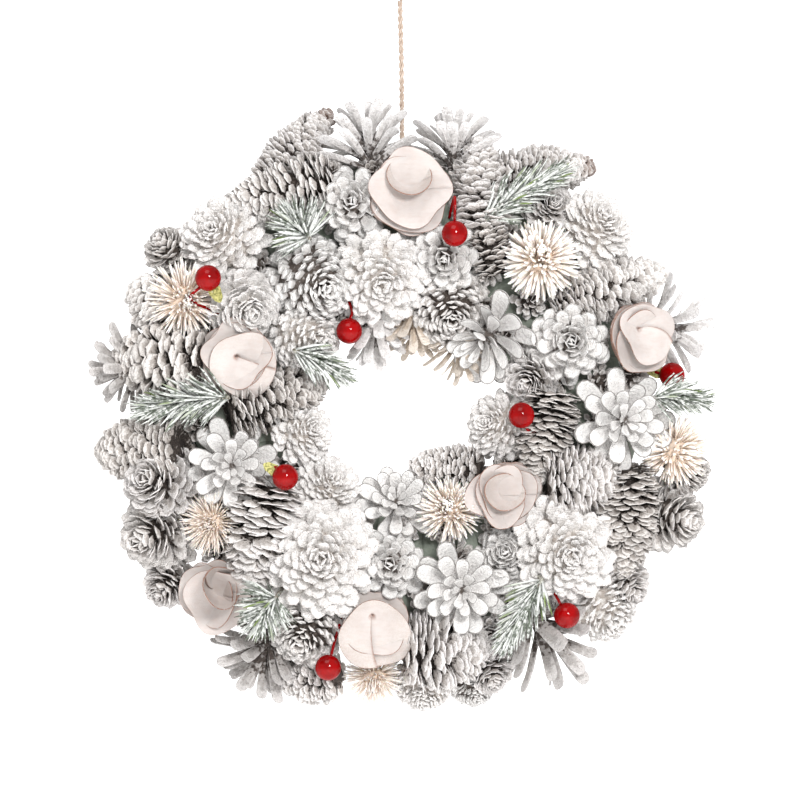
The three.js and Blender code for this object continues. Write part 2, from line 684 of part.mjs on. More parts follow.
// A spray of needles: a slim stem rooted in the ring, then needles on all its sides, lying fairly flat
function needleSpray({ stem, needle, turns, spread, around = 5, seed }) {
  const random = makeRandom(seed);
  const over = stem.map(([x, z]) => vec(x, frontDepth([x, z], NEEDLE_STEM_RADIUS + 0.7), z));
  over.slice(1).forEach((point, k) => {
    const run = Math.hypot(point.x - over[k].x, point.z - over[k].z);
    point.y = Math.min(point.y, over[k].y + run * STEM_SLOPE);
  });
  const path = new THREE.CatmullRomCurve3(over, false, "centripetal");
  const rings = [];
  for (let j = 0; j <= turns + 1; j++) {
    const t = j / (turns + 1);
    const along = path.getTangentAt(t);
    rings.push({ centre: path.getPointAt(t), radius: NEEDLE_STEM_RADIUS * (1 - 0.5 * t), along });
  }
  rings[turns + 1].cap = rings[turns + 1].centre.clone().addScaledVector(rings[turns + 1].along, needle * 0.6);
  const grown = [];
  const solid = scaledBody(rings, around, (cell) => {
    const along = rings[cell.ring].along;
    const opening = spread * (1 - 0.35 * (cell.ring / turns));
    const away = cell.normal.clone();
    away.y *= 0.55;
    const wanted = along.clone().multiplyScalar(Math.cos(opening)).addScaledVector(away, Math.sin(opening));
    wanted.addScaledVector(cell.across, 0.12 * random()).normalize();
    const length = needle * (0.9 + 0.1 * random());
    const direction = clearDirection(cell.middle, wanted, length);
    const outwards = direction && direction.dot(cell.normal) > 0.4;
    const grows = outwards && { base: cell.middle, direction, length };
    if (!grows || grown.some((other) => needlesMeet(grows, other))) {
      return null;
    }
    grown.push(grows);
    return { outline: [cell.middle.clone().addScaledVector(direction, length)] };
  });
  const root = [ringCore(stem[0]), over[0].clone().add(vec(0, 1, 0))];
  return { solid, root };
}

const berries = Object.entries(BERRIES).map(([node, { at, bend }]) => {
  const centre = vec(at[0], frontDepth(at, BERRY_RADIUS - BERRY_NESTING), at[1]);
  const solid = solidFromGeometry(new THREE.SphereGeometry(BERRY_RADIUS, 8, 5).translate(...centre.toArray()));
  const ball = { node, solid, from: centre, to: centre.clone().add(vec(0, -0.1, 0)), radius: BERRY_RADIUS };
  return { ...ball, taper: 1, yields: 0.001, bend };
});
pieces.push(...berries);

const sprays = Object.entries(SPRAYS).map(([node, sizes]) => {
  seed += 13;
  return { node, ...needleSpray({ ...sizes, seed }) };
});

// The piece that is further back, or that yields more, loses more of what two pieces share
function shareOf(piece, other) {
  const behind = piece.from.y + piece.to.y - other.from.y - other.to.y;
  const mine = piece.yields * Math.exp(THREE.MathUtils.clamp(behind / 16, -1.5, 1.5));
  const theirs = other.yields * Math.exp(THREE.MathUtils.clamp(-behind / 16, -1.5, 1.5));
  return mine / (mine + theirs);
}

// A piece grown about its middle by about the clearance
function roomAround(piece) {
  const middle = piece.from.clone().lerp(piece.to, 0.5);
  const scale = 1 + (2 * CLEARANCE) / piece.radius;
  return piece.solid.translate(middle.clone().negate().toArray()).scale(scale).translate(middle.toArray());
}

// Nearest points of two pieces' axes
function nearestPoints(a, b) {
  let best = { distance: Infinity };
  for (let s = 0; s <= 1.001; s += 0.05) {
    const p = a.from.clone().lerp(a.to, s);
    for (let t = 0; t <= 1.001; t += 0.05) {
      const q = b.from.clone().lerp(b.to, t);
      const distance = p.distanceTo(q);
      if (distance < best.distance) best = { distance, p, q, s, t };
    }
  }
  return best;
}

// Cuts two pieces back to a plane between them, leaving the clearance
function separate(a, b) {
  if (a.solid.intersect(b.solid).volume() < 1e-3) return;
  const { distance, p, q, s, t } = nearestPoints(a, b);
  const reachA = a.radius * THREE.MathUtils.lerp(1, a.taper, s);
  const reachB = b.radius * THREE.MathUtils.lerp(1, b.taper, t);
  const shared = Math.max(0, reachA + reachB - distance);
  const along = q.clone().sub(p);
  if (distance < 1) along.copy(FRONT).multiplyScalar(a.from.y > b.from.y ? 1 : -1);
  along.normalize();
  const cut = p.dot(along) + reachA - shared * shareOf(a, b);
  a.solid = a.solid.trimByPlane(along.clone().negate().toArray(), CLEARANCE / 2 - cut);
  b.solid = b.solid.trimByPlane(along.toArray(), CLEARANCE / 2 + cut);
}

pieces.forEach((a, i) => {
  pieces.slice(i + 1).forEach((b) => {
    if (a.node !== b.node) separate(a, b);
  });
});

// Slim rods that pass between the cones: the berries' wires, the sprays' roots and the cones' own links
const rods = [];
function addRod(node, points, radius, sides, steps) {
  rods.push({
    node,
    solid: rod(points, radius, sides, steps).subtract(ringRoom),
    room: rod(points, radius + CLEARANCE, sides, steps),
  });
}
for (const berry of berries) {
  const [x, z] = berry.bend;
  const bent = vec(x, Math.max(berry.from.y + 1, frontDepth(berry.bend, WIRE_RADIUS + 0.5)), z);
  const start = berry.from.clone().lerp(bent, (BERRY_RADIUS - 1.5) / berry.from.distanceTo(bent));
  addRod(berry.node, [start, bent, ringCore(berry.bend)], WIRE_RADIUS, 4, 3);
}
for (const spray of sprays) addRod(spray.node, spray.root, NEEDLE_STEM_RADIUS * 0.8, 5, 1);
for (const node of Object.keys(CONE_GROUPS)) {
  const members = pieces.filter((piece) => piece.node === node);
  members.slice(1).forEach((member, i) => {
    const before = members.slice(0, i + 1);
    if (before.some((other) => other.solid.intersect(member.solid).volume() > LEAST_JOIN)) return;
    const gaps = before.map((other) => nearestPoints(other, member));
    const near = gaps.reduce((best, gap) => (gap.distance < best.distance ? gap : best));
    const behind = vec(0, LINK_RADIUS, 0);
    addRod(node, [near.p.add(behind), near.q.add(behind)], LINK_RADIUS, 5, 1);
  });
}

const solids = new Map();
const join = (node, solid) => solids.set(node, solids.has(node) ? solids.get(node).add(solid) : solid);
for (const piece of pieces) {
  piece.solid = piece.solid.trimByPlane([0, -1, 0], FOLIAGE_BACK_MARGIN - RING_BACK);
  piece.solid = piece.solid.subtract(ringRoom).subtract(tieRoom).subtract(twineRoom);
  join(piece.node, piece.solid);
}
for (const spray of sprays) {
  const crossed = pieces.filter((piece) => piece.solid.intersect(spray.solid).volume() > 0);
  spray.solid = crossed.reduce((left, piece) => left.subtract(roomAround(piece)), spray.solid);
  join(spray.node, spray.solid);
}
for (const { node, solid } of rods) join(node, solid);
for (const [node, solid] of solids) {
  const others = rods.filter((other) => other.node !== node);
  solids.set(node, others.reduce((left, other) => left.subtract(other.room), solid));
}
solids.set("base_ring", ring);
solids.set("twine_tie", tie);
solids.set("hanging_twine", twine);
solids.set("hanging_loop", loop);

// Colour, roughness and metalness of each kind of piece, found by the start of its node's name
const FINISHES = {
  base_ring: { color: 0xa9b0a6, roughness: 0.85, metalness: 0 },
  twine_tie: { color: 0xd8c2ac, roughness: 0.95, metalness: 0 },
  hanging_: { color: 0xd8c2ac, roughness: 0.95, metalness: 0 },
  rose: { color: 0xf3e9e4, roughness: 0.75, metalness: 0 },
  thistle: { color: 0xe9d2b2, roughness: 0.85, metalness: 0 },
  berry: { color: 0xc01515, roughness: 0.2, metalness: 0 },
  needle_spray: { color: 0xb4bbb0, roughness: 0.8, metalness: 0 },
  petalled_cone: { color: 0xe8e4df, roughness: 0.6, metalness: 0 },
  strap_cone: { color: 0xdad2c8, roughness: 0.7, metalness: 0 },
  spruce_cone: { color: 0xc9c2b9, roughness: 0.75, metalness: 0 },
  dark_cones: { color: 0x9d958c, roughness: 0.75, metalness: 0 },
  glitter_cones: { color: 0xf2efec, roughness: 0.5, metalness: 0 },
  frosted_cones: { color: 0xdedad4, roughness: 0.75, metalness: 0 },
};

const wreath = new THREE.Group();
wreath.position.z = -WREATH_DROP;
for (const [name, solid] of solids) {
  const kind = Object.keys(FINISHES).find((start) => name.startsWith(start));
  const material = new THREE.MeshStandardMaterial(FINISHES[kind]);
  const mesh = new THREE.Mesh(geometryFrom(largestBody(solid)), material);
  mesh.name = name;
  wreath.add(mesh);
}

const root = new THREE.Group();
root.add(wreath);
export default root;
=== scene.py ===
"""The looks of a preserved winter wreath that hangs by a jute twine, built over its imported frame.

Cones, wood-shaving roses, thistle balls, berries and needle sprays stand on a wrapped half-round ring.
Places are in millimetres from the ring's centre, x to the right and z up, as seen from the front (-Y).
"""

import logging
import math
import random
from dataclasses import dataclass, field
from enum import Enum
from typing import Any, ClassVar, Iterable, Sequence

import bpy
import numpy as np
from mathutils import Matrix, Vector

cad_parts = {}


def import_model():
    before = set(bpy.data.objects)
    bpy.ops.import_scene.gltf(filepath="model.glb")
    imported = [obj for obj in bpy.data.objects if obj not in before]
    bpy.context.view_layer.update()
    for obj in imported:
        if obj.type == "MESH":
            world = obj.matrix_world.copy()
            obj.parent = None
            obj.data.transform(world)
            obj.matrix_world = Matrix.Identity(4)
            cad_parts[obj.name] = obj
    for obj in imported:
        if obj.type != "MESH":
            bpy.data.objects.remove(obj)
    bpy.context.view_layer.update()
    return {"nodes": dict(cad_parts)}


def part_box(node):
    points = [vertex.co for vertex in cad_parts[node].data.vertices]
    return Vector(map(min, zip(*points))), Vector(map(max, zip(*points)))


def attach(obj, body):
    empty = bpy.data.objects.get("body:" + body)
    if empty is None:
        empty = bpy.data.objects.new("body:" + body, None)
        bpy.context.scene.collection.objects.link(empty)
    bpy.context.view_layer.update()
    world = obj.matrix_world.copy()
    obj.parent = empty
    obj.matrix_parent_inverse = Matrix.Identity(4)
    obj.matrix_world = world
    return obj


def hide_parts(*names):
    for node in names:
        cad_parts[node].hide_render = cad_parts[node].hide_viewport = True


log = logging.getLogger("wreath")

MM = 0.001
WREATH_DROP = 262.0  # from the hanging point down to the ring's centre
RING_RADIUS = 102.0
RING_HALF_WIDTH = 38.0
RING_THICKNESS = 30.0
RING_BACK = 16.0
TIE_X = 1.2  # the twine leaves the ring this far right of its middle
FOLIAGE_HALF_WIDTH = 70.0
FRONT = Vector((0, -1, 0))
TO_FRAME = Matrix.Translation((0, 0, -WREATH_DROP * MM)) @ Matrix.Scale(MM, 4)
GOLDEN_ANGLE = math.pi * (3 - math.sqrt(5))
CROWDING = 1.32  # closed cones are pressed together until they touch
PARTS = ("Base", "Middle", "Tip")

Place = tuple[float, float]
Triple = tuple[float, float, float]
Face = tuple[int, ...]
Socket = bpy.types.NodeSocket
Mesh = bpy.types.Mesh
Tree = bpy.types.NodeTree


# Places on the wreath


def seat_depth(distance: float) -> float:
    """Depth of the surface that the foliage sits on, at a distance from the ring's centre."""
    across = (distance - RING_RADIUS) / FOLIAGE_HALF_WIDTH
    return RING_BACK - 2 - RING_THICKNESS * math.sqrt(max(0.02, 1 - across * across))


def place_at(at: Place, rise: float) -> Vector:
    """A point over the wreath's face at (x, z), in front of the foliage's seat by `rise`."""
    return Vector((at[0], seat_depth(math.hypot(*at)) - rise, at[1]))


def facing_at(at: Place, turn: float, lean: Place = (0.0, 0.0)) -> Vector:
    """The direction that a round piece faces: forwards on the ring's crest, turned out or in at its edges.

    Args:
        at: the piece's place.
        turn: how far it is turned at the edges, in radians.
        lean: how far it leans right and up besides, where it leans.

    Returns:
        The direction, of length 1 where it doesn't lean.
    """
    tilt = max(-0.9, min(0.9, (math.hypot(*at) - RING_RADIUS) / FOLIAGE_HALF_WIDTH)) * turn
    away = Vector((at[0], 0, at[1])).normalized()
    facing = (FRONT * math.cos(tilt) + away * math.sin(tilt)).normalized()
    return facing + Vector((lean[0], 0, lean[1]))


def standing_on(origin: Vector, along: Vector, spin: float = 0.0) -> Matrix:
    """The matrix from a piece's own millimetres, with +Z along its axis, to the frame's metres.

    Args:
        origin: where the piece's origin goes, in millimetres from the ring's centre.
        along: the direction of the piece's own +Z.
        spin: a turn about that axis.

    Returns:
        The matrix that takes the piece's points to the frame.
    """
    turn = along.to_track_quat("Z", "Y").to_matrix().to_4x4()
    return TO_FRAME @ Matrix.Translation(origin) @ turn @ Matrix.Rotation(spin, 4, "Z")


# Meshes


def new_object(name: str, data: Any) -> bpy.types.Object:
    """A new object in the scene.

    Args:
        name: its name.
        data: its mesh, lamp or camera.

    Returns:
        The object.
    """
    made = bpy.data.objects.new(name, data)
    bpy.context.scene.collection.objects.link(made)
    return made


def mark(mesh: Mesh, name: str, values: Sequence[float]) -> None:
    """Gives each point of a mesh a number, which its material can read."""
    layer = mesh.attributes.get(name) or mesh.attributes.new(name, "FLOAT", "POINT")
    layer.data.foreach_set("value", np.asarray(values, dtype=np.float32))


def mesh_from(
    name: str,
    points: Iterable[Sequence[float]],
    faces: Iterable[Face],
    marks: dict[str, Sequence[float]] | None = None,
) -> Mesh:
    """A smooth mesh of points and faces.

    Args:
        name: the mesh's name.
        points: the points.
        faces: the corner indices of each face.
        marks: one list of numbers for each attribute's name.

    Returns:
        The new mesh.
    """
    mesh = bpy.data.meshes.new(name)
    mesh.from_pydata([tuple(p) for p in points], [], [tuple(f) for f in faces])
    for key, values in (marks or {}).items():
        mark(mesh, key, values)
    mesh.shade_smooth()
    return mesh


def read_points(mesh: Mesh) -> np.ndarray:
    """A mesh's points.

    Args:
        mesh: the mesh.

    Returns:
        The points, one in each row.
    """
    points = np.empty(len(mesh.vertices) * 3, dtype=np.float32)
    mesh.vertices.foreach_get("co", points)
    return points.reshape(-1, 3)


def write_points(mesh: Mesh, points: np.ndarray) -> None:
    """Moves a mesh's points."""
    mesh.vertices.foreach_set("co", points.astype(np.float32).ravel())
    mesh.update()


def ring_faces(rings: int, around: int) -> list[Face]:
    """The faces of a tube that is closed at both ends.

    Args:
        rings: how many rings of points it has.
        around: how many points each ring has.

    Returns:
        The corner indices of each face.
    """
    last = (rings - 1) * around
    faces: list[Face] = [tuple(reversed(range(around))), tuple(range(last, last + around))]
    for j in range(rings - 1):
        for k in range(around):
            a, b = j * around + k, j * around + (k + 1) % around
            faces.append((a, b, b + around, a + around))
    return faces


def sheet_faces(rows: int, columns: int) -> list[Face]:
    """The faces of a closed shell whose upper points, in rows, are followed by its lower ones.

    Args:
        rows: how many rows of points each side has.
        columns: how many points each row has.

    Returns:
        The corner indices of each face.
    """
    under, faces = rows * columns, []
    for i in range(rows - 1):
        for k in range(columns - 1):
            a, b = i * columns + k, (i + 1) * columns + k
            faces += [(a, b, b + 1, a + 1), (a + under, a + 1 + under, b + 1 + under, b + under)]
        a, b = i * columns, (i + 1) * columns
        c, d = a + columns - 1, b + columns - 1
        faces += [(a, a + under, b + under, b), (c, d, d + under, c + under)]
    for k in range(columns - 1):
        end = (rows - 1) * columns + k
        faces += [(k, k + 1, k + 1 + under, k + under), (end, end + under, end + 1 + under, end + 1)]
    return faces


def joined(name: str, meshes: Sequence[Mesh]) -> bpy.types.Object:
    """Joins meshes.

    Args:
        name: the name of the result.
        meshes: two meshes or more.

    Returns:
        One object of them all.
    """
    parts = [new_object(name, mesh) for mesh in meshes]
    with bpy.context.temp_override(active_object=parts[0], selected_editable_objects=parts):
        bpy.ops.object.join()
    parts[0].name = name
    return parts[0]


def placed(meshes: list[Mesh], place: Matrix) -> list[Mesh]:
    """Takes meshes to their place.

    Args:
        meshes: the meshes.
        place: the matrix of the place.

    Returns:
        The same meshes.
    """
    for mesh in meshes:
        mesh.transform(place)
    return meshes


def press_flat(mesh: Mesh, wall: float = (RING_BACK - 0.2) * MM, soft: float = 7 * MM) -> None:
    """Presses whatever would stand behind the wreath's back against the wall that it hangs on.

    Args:
        mesh: the mesh, in the frame's metres.
        wall: the depth that no point passes.
        soft: how far in front of it the pressing begins.
    """
    points = read_points(mesh)
    depth = points[:, 1].copy()
    over = np.maximum(depth - (wall - soft), 0)
    points[:, 1] = np.where(over > 0, wall - soft * np.exp(-over / soft), depth)
    write_points(mesh, points)


def dress(piece: bpy.types.Object, slot: str, *nodes: str, pressed: bool = True) -> None:
    """Rides a finished piece on the wreath in the place of its nodes, and reports it.

    Args:
        piece: the finished piece.
        slot: not used.
        *nodes: the nodes of the frame that it stands for.
        pressed: whether what would reach through the back is pressed against the wall.
    """
    if pressed:
        press_flat(piece.data)
    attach(piece, "root")
    if nodes:
        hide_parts(*nodes)
    log.info("%s: %d faces", piece.name, len(piece.data.polygons))


# Node trees


def add_node(
    tree: Tree, kind: str, settings: dict[str, Any] | None = None, links: dict[Any, Any] | None = None
) -> bpy.types.Node:
    """Adds one node with its settings, and sets or links its inputs.

    Args:
        tree: the node tree.
        kind: the node's type.
        settings: the node's own properties.
        links: for each input's name or number, a value or the output socket to link it to.

    Returns:
        The new node.
    """
    node = tree.nodes.new(kind)
    for key, value in (settings or {}).items():
        setattr(node, key, value)
    for key, value in (links or {}).items():
        if isinstance(value, Socket):
            tree.links.new(value, node.inputs[key])
        else:
            node.inputs[key].default_value = value
    return node


def sum_in(tree: Tree, operation: str, *values: Any) -> Socket:
    """The result of a sum in a node tree."""
    return add_node(tree, "ShaderNodeMath", {"operation": operation}, dict(enumerate(values))).outputs[0]


def new_tree(name: str, inputs: dict[str, str], result: str = "Geometry") -> tuple[Tree, dict[str, Socket]]:
    """A new Geometry Nodes tree with named inputs.

    Args:
        name: the tree's name.
        inputs: the kind of each input, by its name.
        result: the kind of its one output.

    Returns:
        The tree, and its input sockets by name.
    """
    tree = bpy.data.node_groups.new(name, "GeometryNodeTree")
    for label, kind in inputs.items():
        tree.interface.new_socket(name=label, in_out="INPUT", socket_type=f"NodeSocket{kind}")
    tree.interface.new_socket(name="Result", in_out="OUTPUT", socket_type=f"NodeSocket{result}")
    group_in = tree.nodes.new("NodeGroupInput")
    return tree, {label: group_in.outputs[label] for label in inputs}


def run_tree(name: str, mesh: Mesh, tree: Tree, values: dict[str, Any]) -> Mesh:
    """The plain mesh that a Geometry Nodes tree makes of a mesh.

    Args:
        name: the name of the result.
        mesh: the mesh that the tree starts from.
        tree: the tree.
        values: a value for each named input.

    Returns:
        The resulting mesh, with no modifier left.
    """
    carrier = new_object(name, mesh)
    modifier = carrier.modifiers.new("shape", "NODES")
    modifier.node_group = tree
    for item in tree.interface.items_tree:
        if item.in_out == "INPUT" and item.name in values:
            modifier[item.identifier] = values[item.name]
    graph = bpy.context.evaluated_depsgraph_get()
    result = bpy.data.meshes.new_from_object(
        carrier.evaluated_get(graph), preserve_all_data_layers=True, depsgraph=graph
    )
    carrier.modifiers.remove(modifier)
    bpy.data.objects.remove(carrier)
    return result


# Finishes


def linear(hex_colour: str) -> tuple[float, float, float, float]:
    """The linear colour of an sRGB hex string."""
    channels = [int(hex_colour[i : i + 2], 16) / 255 for i in (1, 3, 5)]
    return (*(c / 12.92 if c <= 0.04045 else ((c + 0.055) / 1.055) ** 2.4 for c in channels), 1.0)


class Material:
    """A procedural material that reads its patterns in metres, on Object coordinates."""

    def __init__(self, name: str) -> None:
        """Starts an empty material with its shader and output.

        Args:
            name: the material's name.
        """
        self.material = bpy.data.materials.new(name)
        self.material.use_nodes = True
        self.tree = self.material.node_tree
        self.tree.nodes.clear()
        self.shader = add_node(self.tree, "ShaderNodeBsdfPrincipled")
        add_node(self.tree, "ShaderNodeOutputMaterial", links={"Surface": self.shader.outputs[0]})
        self.at = add_node(self.tree, "ShaderNodeTexCoord").outputs["Object"]

    def put(self, **values: Any) -> None:
        """Sets or links the shader's inputs.

        Args:
            **values: a value or a socket for each, its name with _ for its spaces.
        """
        for key, value in values.items():
            socket = self.shader.inputs[key.replace("_", " ")]
            if isinstance(value, Socket):
                self.tree.links.new(value, socket)
            else:
                socket.default_value = value

    def stretched(self, scale: Triple) -> Socket:
        """Object coordinates that are squeezed along each axis."""
        return add_node(self.tree, "ShaderNodeMapping", links={"Vector": self.at, "Scale": scale}).outputs[0]

    def noise(self, grain_mm: float, detail: float = 4.0, vector: Any = None) -> Socket:
        """Noise whose lumps are about `grain_mm` across."""
        links = {"Vector": vector or self.at, "Scale": 1 / (grain_mm * MM), "Detail": detail}
        return add_node(self.tree, "ShaderNodeTexNoise", links=links).outputs["Fac"]

    def attribute(self, name: str) -> Socket:
        """A number that the mesh carries."""
        return add_node(self.tree, "ShaderNodeAttribute", {"attribute_name": name}).outputs["Fac"]

    def math(self, operation: str, *values: Any) -> Socket:
        """The result of a sum."""
        return sum_in(self.tree, operation, *values)

    def between(self, value: Any, low: float, high: float) -> Socket:
        """A smooth step up from 0 to 1.

        Args:
            value: what it follows.
            low: the value where it begins.
            high: the value where it ends.

        Returns:
            The step.
        """
        links = {"Value": value, "From Min": low, "From Max": high}
        settings = {"interpolation_type": "SMOOTHSTEP"}
        return add_node(self.tree, "ShaderNodeMapRange", settings, links).outputs["Result"]

    def mix(self, factor: Any, first: Any, second: Any, blend: str = "MIX") -> Socket:
        """A colour of two, each a hex string or a socket.

        Args:
            factor: how far the second comes through.
            first: the first colour.
            second: the second colour.
            blend: how the second goes over the first.

        Returns:
            The colour.
        """
        first, second = (linear(c) if isinstance(c, str) else c for c in (first, second))
        settings = {"data_type": "RGBA", "blend_type": blend}
        return add_node(self.tree, "ShaderNodeMix", settings, {0: factor, 6: first, 7: second}).outputs[2]

    def finished(
        self, colour: Socket, roughness: Any, height: Any = None, depth_mm: float = 0.0
    ) -> bpy.types.Material:
        """Sets what every finish has.

        Args:
            colour: the colour.
            roughness: a number or a socket.
            height: the relief from 0 to 1, if it has one.
            depth_mm: how deep the relief is.

        Returns:
            The finished material.
        """
        self.put(Base_Color=colour, Roughness=roughness)
        if height is not None:
            links = {"Height": height, "Distance": depth_mm * MM, "Strength": 1.0}
            self.put(Normal=add_node(self.tree, "ShaderNodeBump", links=links).outputs[0])
        return self.material


@dataclass(frozen=True)
class ConeFinish:
    """A cone's woody scales under sprayed white: bare brown wood in the recesses, darkened further there with
    painted shade, pale at the tips.
    """

    name: str
    bare: str
    # The next is the grey between bare and paint: painted shade on the lower parts of the scales
    shaded: str
    paint: str
    bare_share: float  # how far from its root a scale stays bare and dark: bare wood with painted shade in the recesses
    patchiness: float
    sparkle: float = 0.0  # share of the surface with a glint of mica
    specks: float = 0.0  # how dark the grit in the coat is
    roughness: float = 0.8
    edging: float = 0.0  # how far its thin edges darken towards the bare colour

    def make(self) -> bpy.types.Material:
        """The material: three tones by height and patch, with bare wood and painted shade low on the scales
        and paint at the tips, toned by noise, under a fine crust.

        Returns:
            The finished material.
        """
        made = Material(self.name)
        worn, edge = made.attribute("worn"), made.attribute("rim")
        tip = made.math("SUBTRACT", made.attribute("tip"), made.math("MULTIPLY", worn, 0.35))
        clouds = made.math("SUBTRACT", made.noise(2.6, 8.0), 0.5)
        patches = made.math("MULTIPLY", clouds, self.patchiness * 1.5)
        coverage = made.math("ADD", tip, patches)
        # Low on a scale and on its underside the colour goes to bare and shaded: bare wood and painted shade
        # in the recesses
        painted = made.between(coverage, self.bare_share - 0.1, self.bare_share + 0.1)
        rim = made.between(edge, 0.35, 1.0)
        ridged = made.math("MULTIPLY_ADD", rim, 0.45, made.math("MULTIPLY", coverage, 0.8))
        thick = made.between(ridged, self.bare_share + 0.18, self.bare_share + 0.6)
        colour = made.mix(thick, made.mix(painted, self.bare, self.shaded), self.paint)
        if self.edging:
            # Thin edges darkened towards the bare colour
            darkened_edge = made.math("MULTIPLY", made.between(edge, 0.84, 0.97), self.edging)
            colour = made.mix(darkened_edge, colour, self.bare)
        colour = made.mix(made.math("MULTIPLY", worn, made.between(patches, -0.2, 0.1)), colour, "#6a4a38")
        if self.specks:
            grit = made.between(made.noise(0.9, 3.0), 0.56, 0.66)
            colour = made.mix(made.math("MULTIPLY", grit, self.specks), colour, "#736a61")
        tone = made.math("MULTIPLY_ADD", made.attribute("shade"), 0.22, 0.16)
        tone = made.math("MULTIPLY_ADD", made.noise(11.0, 2.0), 0.42, tone)
        tone = made.math("MINIMUM", made.math("MULTIPLY_ADD", made.noise(0.9, 5.0), 1.0, tone), 1.06)
        roughness: Any = self.roughness
        if self.sparkle:
            links = {"Vector": made.at, "Scale": 1 / (0.7 * MM)}
            cells = add_node(made.tree, "ShaderNodeTexVoronoi", links=links)
            glint = made.between(cells.outputs["Color"], 1 - self.sparkle - 0.02, 1 - self.sparkle)
            roughness = made.math("MULTIPLY_ADD", glint, 0.22 - self.roughness, self.roughness)
        crust = made.math("ADD", made.noise(1.6, 6.0), made.math("MULTIPLY", made.noise(0.6, 3.0), 0.5))
        return made.finished(made.mix(1.0, colour, tone, "MULTIPLY"), roughness, crust, 1.3)


@dataclass(frozen=True)
class ShavedWood:
    """Thin peeled shavings of pale wood: satin, faintly grained, dark along their cut edges, brown from the
    blade and with painted shadow.
    """

    name: str = "shaved_poplar_peeled"

    def make(self) -> bpy.types.Material:
        """The material: cloudy pale wood with fine fibres, a dust of grit and a cut edge that is browned and
        carries painted shadow.

        Returns:
            The finished material.
        """
        made = Material(self.name)
        fibres = made.noise(1.6, 6.0, made.stretched((0.25, 1.0, 1.0)))
        body = made.mix(made.between(made.noise(14.0, 3.0), 0.35, 0.7), "#c3bbb7", "#b6ada9")
        body = made.mix(made.math("MULTIPLY", made.between(fibres, 0.4, 0.75), 0.25), body, "#b19d92")
        dust = made.math("MULTIPLY", made.attribute("dust"), made.between(made.noise(0.8, 4.0), 0.42, 0.6))
        body = made.mix(made.math("MULTIPLY", dust, 0.5), body, "#a29484")
        # The brown on the cut edges is the cut wood's colour and also a painted shadow along each sheet's
        # edge
        edge = made.math("MULTIPLY", made.attribute("edge"), made.between(made.noise(2.5, 4.0), 0.2, 0.5))
        made.put(Subsurface_Weight=0.12, Subsurface_Radius=(0.004, 0.0025, 0.002), Subsurface_Scale=0.4)
        relief = made.math("ADD", fibres, made.noise(0.5, 3.0))
        return made.finished(made.mix(edge, body, "#8d6a5b"), 0.62, relief, 0.16)


@dataclass(frozen=True)
class ThistleSpines:
    """Dry bleached thistle spines: chalky cream, tan where they grow from the ball, a tan that is partly
    their own colour and partly painted shade among the crowded roots.
    """

    name: str
    root: str
    middle: str
    point: str

    def make(self) -> bpy.types.Material:
        """The material: three tones from root to point, the darker root tones partly painted shade, a little
        shifted on each spine.

        Returns:
            The finished material.
        """
        made = Material(self.name)
        shift = made.math("MULTIPLY_ADD", made.attribute("shade"), 0.3, -0.15)
        tip = made.math("ADD", made.attribute("tip"), shift)
        # The tan root tone is partly painted shade between the spines
        body = made.mix(made.between(tip, 0.1, 0.55), self.root, self.middle)
        body = made.mix(made.between(tip, 0.5, 1.0), body, self.point)
        made.put(Subsurface_Weight=0.1, Subsurface_Radius=(0.003, 0.002, 0.001))
        return made.finished(body, 0.75, made.noise(0.5, 3.0), 0.15)


@dataclass(frozen=True)
class FrostedNeedles:
    """Spruce needles in dull green under a white spray that leaves streaks of green and a few bare tips."""

    name: str = "needles_sprayed_white"

    def make(self) -> bpy.types.Material:
        """The material: frost in streaks over green, and fresh green on the tips of a few needles.

        Returns:
            The finished material.
        """
        made = Material(self.name)
        shade = made.attribute("shade")
        frost = made.math("ADD", made.noise(2.2, 5.0), made.math("MULTIPLY_ADD", shade, 0.3, -0.15))
        body = made.mix(made.between(frost, 0.33, 0.54), "#626a5d", "#dcdeda")
        tips = made.between(made.attribute("tip"), 0.35, 0.7)
        bare = made.math("MULTIPLY", made.between(shade, 0.86, 0.97), tips)
        return made.finished(made.mix(bare, body, "#76874f"), 0.7, made.noise(0.5, 4.0), 0.2)


@dataclass(frozen=True)
class Lacquer:
    """Glossy red lacquer over a foam berry: a deep even red with a hard clear highlight."""

    name: str = "lacquer_berry_red"

    def make(self) -> bpy.types.Material:
        """The material: a matt red body under a clear coat that alone gives the highlight.

        Returns:
            The finished material.
        """
        made = Material(self.name)
        body = made.mix(made.between(made.noise(8.0, 2.0), 0.3, 0.8), "#900002", "#6c0102")
        made.put(Specular_IOR_Level=0.0, Coat_Weight=0.42, Coat_Roughness=0.03)
        return made.finished(body, 0.3, made.noise(5.0, 2.0), 0.03)


@dataclass(frozen=True)
class PaperTape:
    """Crepe paper tape wound over straw: matt, finely crinkled, with a painted shadow under the edge of each
    turn.
    """

    name: str = "crepe_tape_grey_green"

    def make(self) -> bpy.types.Material:
        """The material: grey-green in soft clouds, with crinkles and a painted shadow where each turn begins.

        Returns:
            The finished material.
        """
        made = Material(self.name)
        crinkle = made.noise(1.2, 6.0)
        body = made.mix(made.between(made.noise(12.0, 3.0), 0.3, 0.7), "#868d82", "#949b90")
        body = made.mix(made.math("MULTIPLY", made.between(crinkle, 0.42, 0.7), 0.35), body, "#727a6e")
        # A painted shadow just under the edge of each turn of tape
        under = made.math("MULTIPLY", made.between(made.attribute("lap"), 0.25, 0.0), 0.6)
        return made.finished(made.mix(under, body, "#4e554b"), 0.93, crinkle, 0.35)


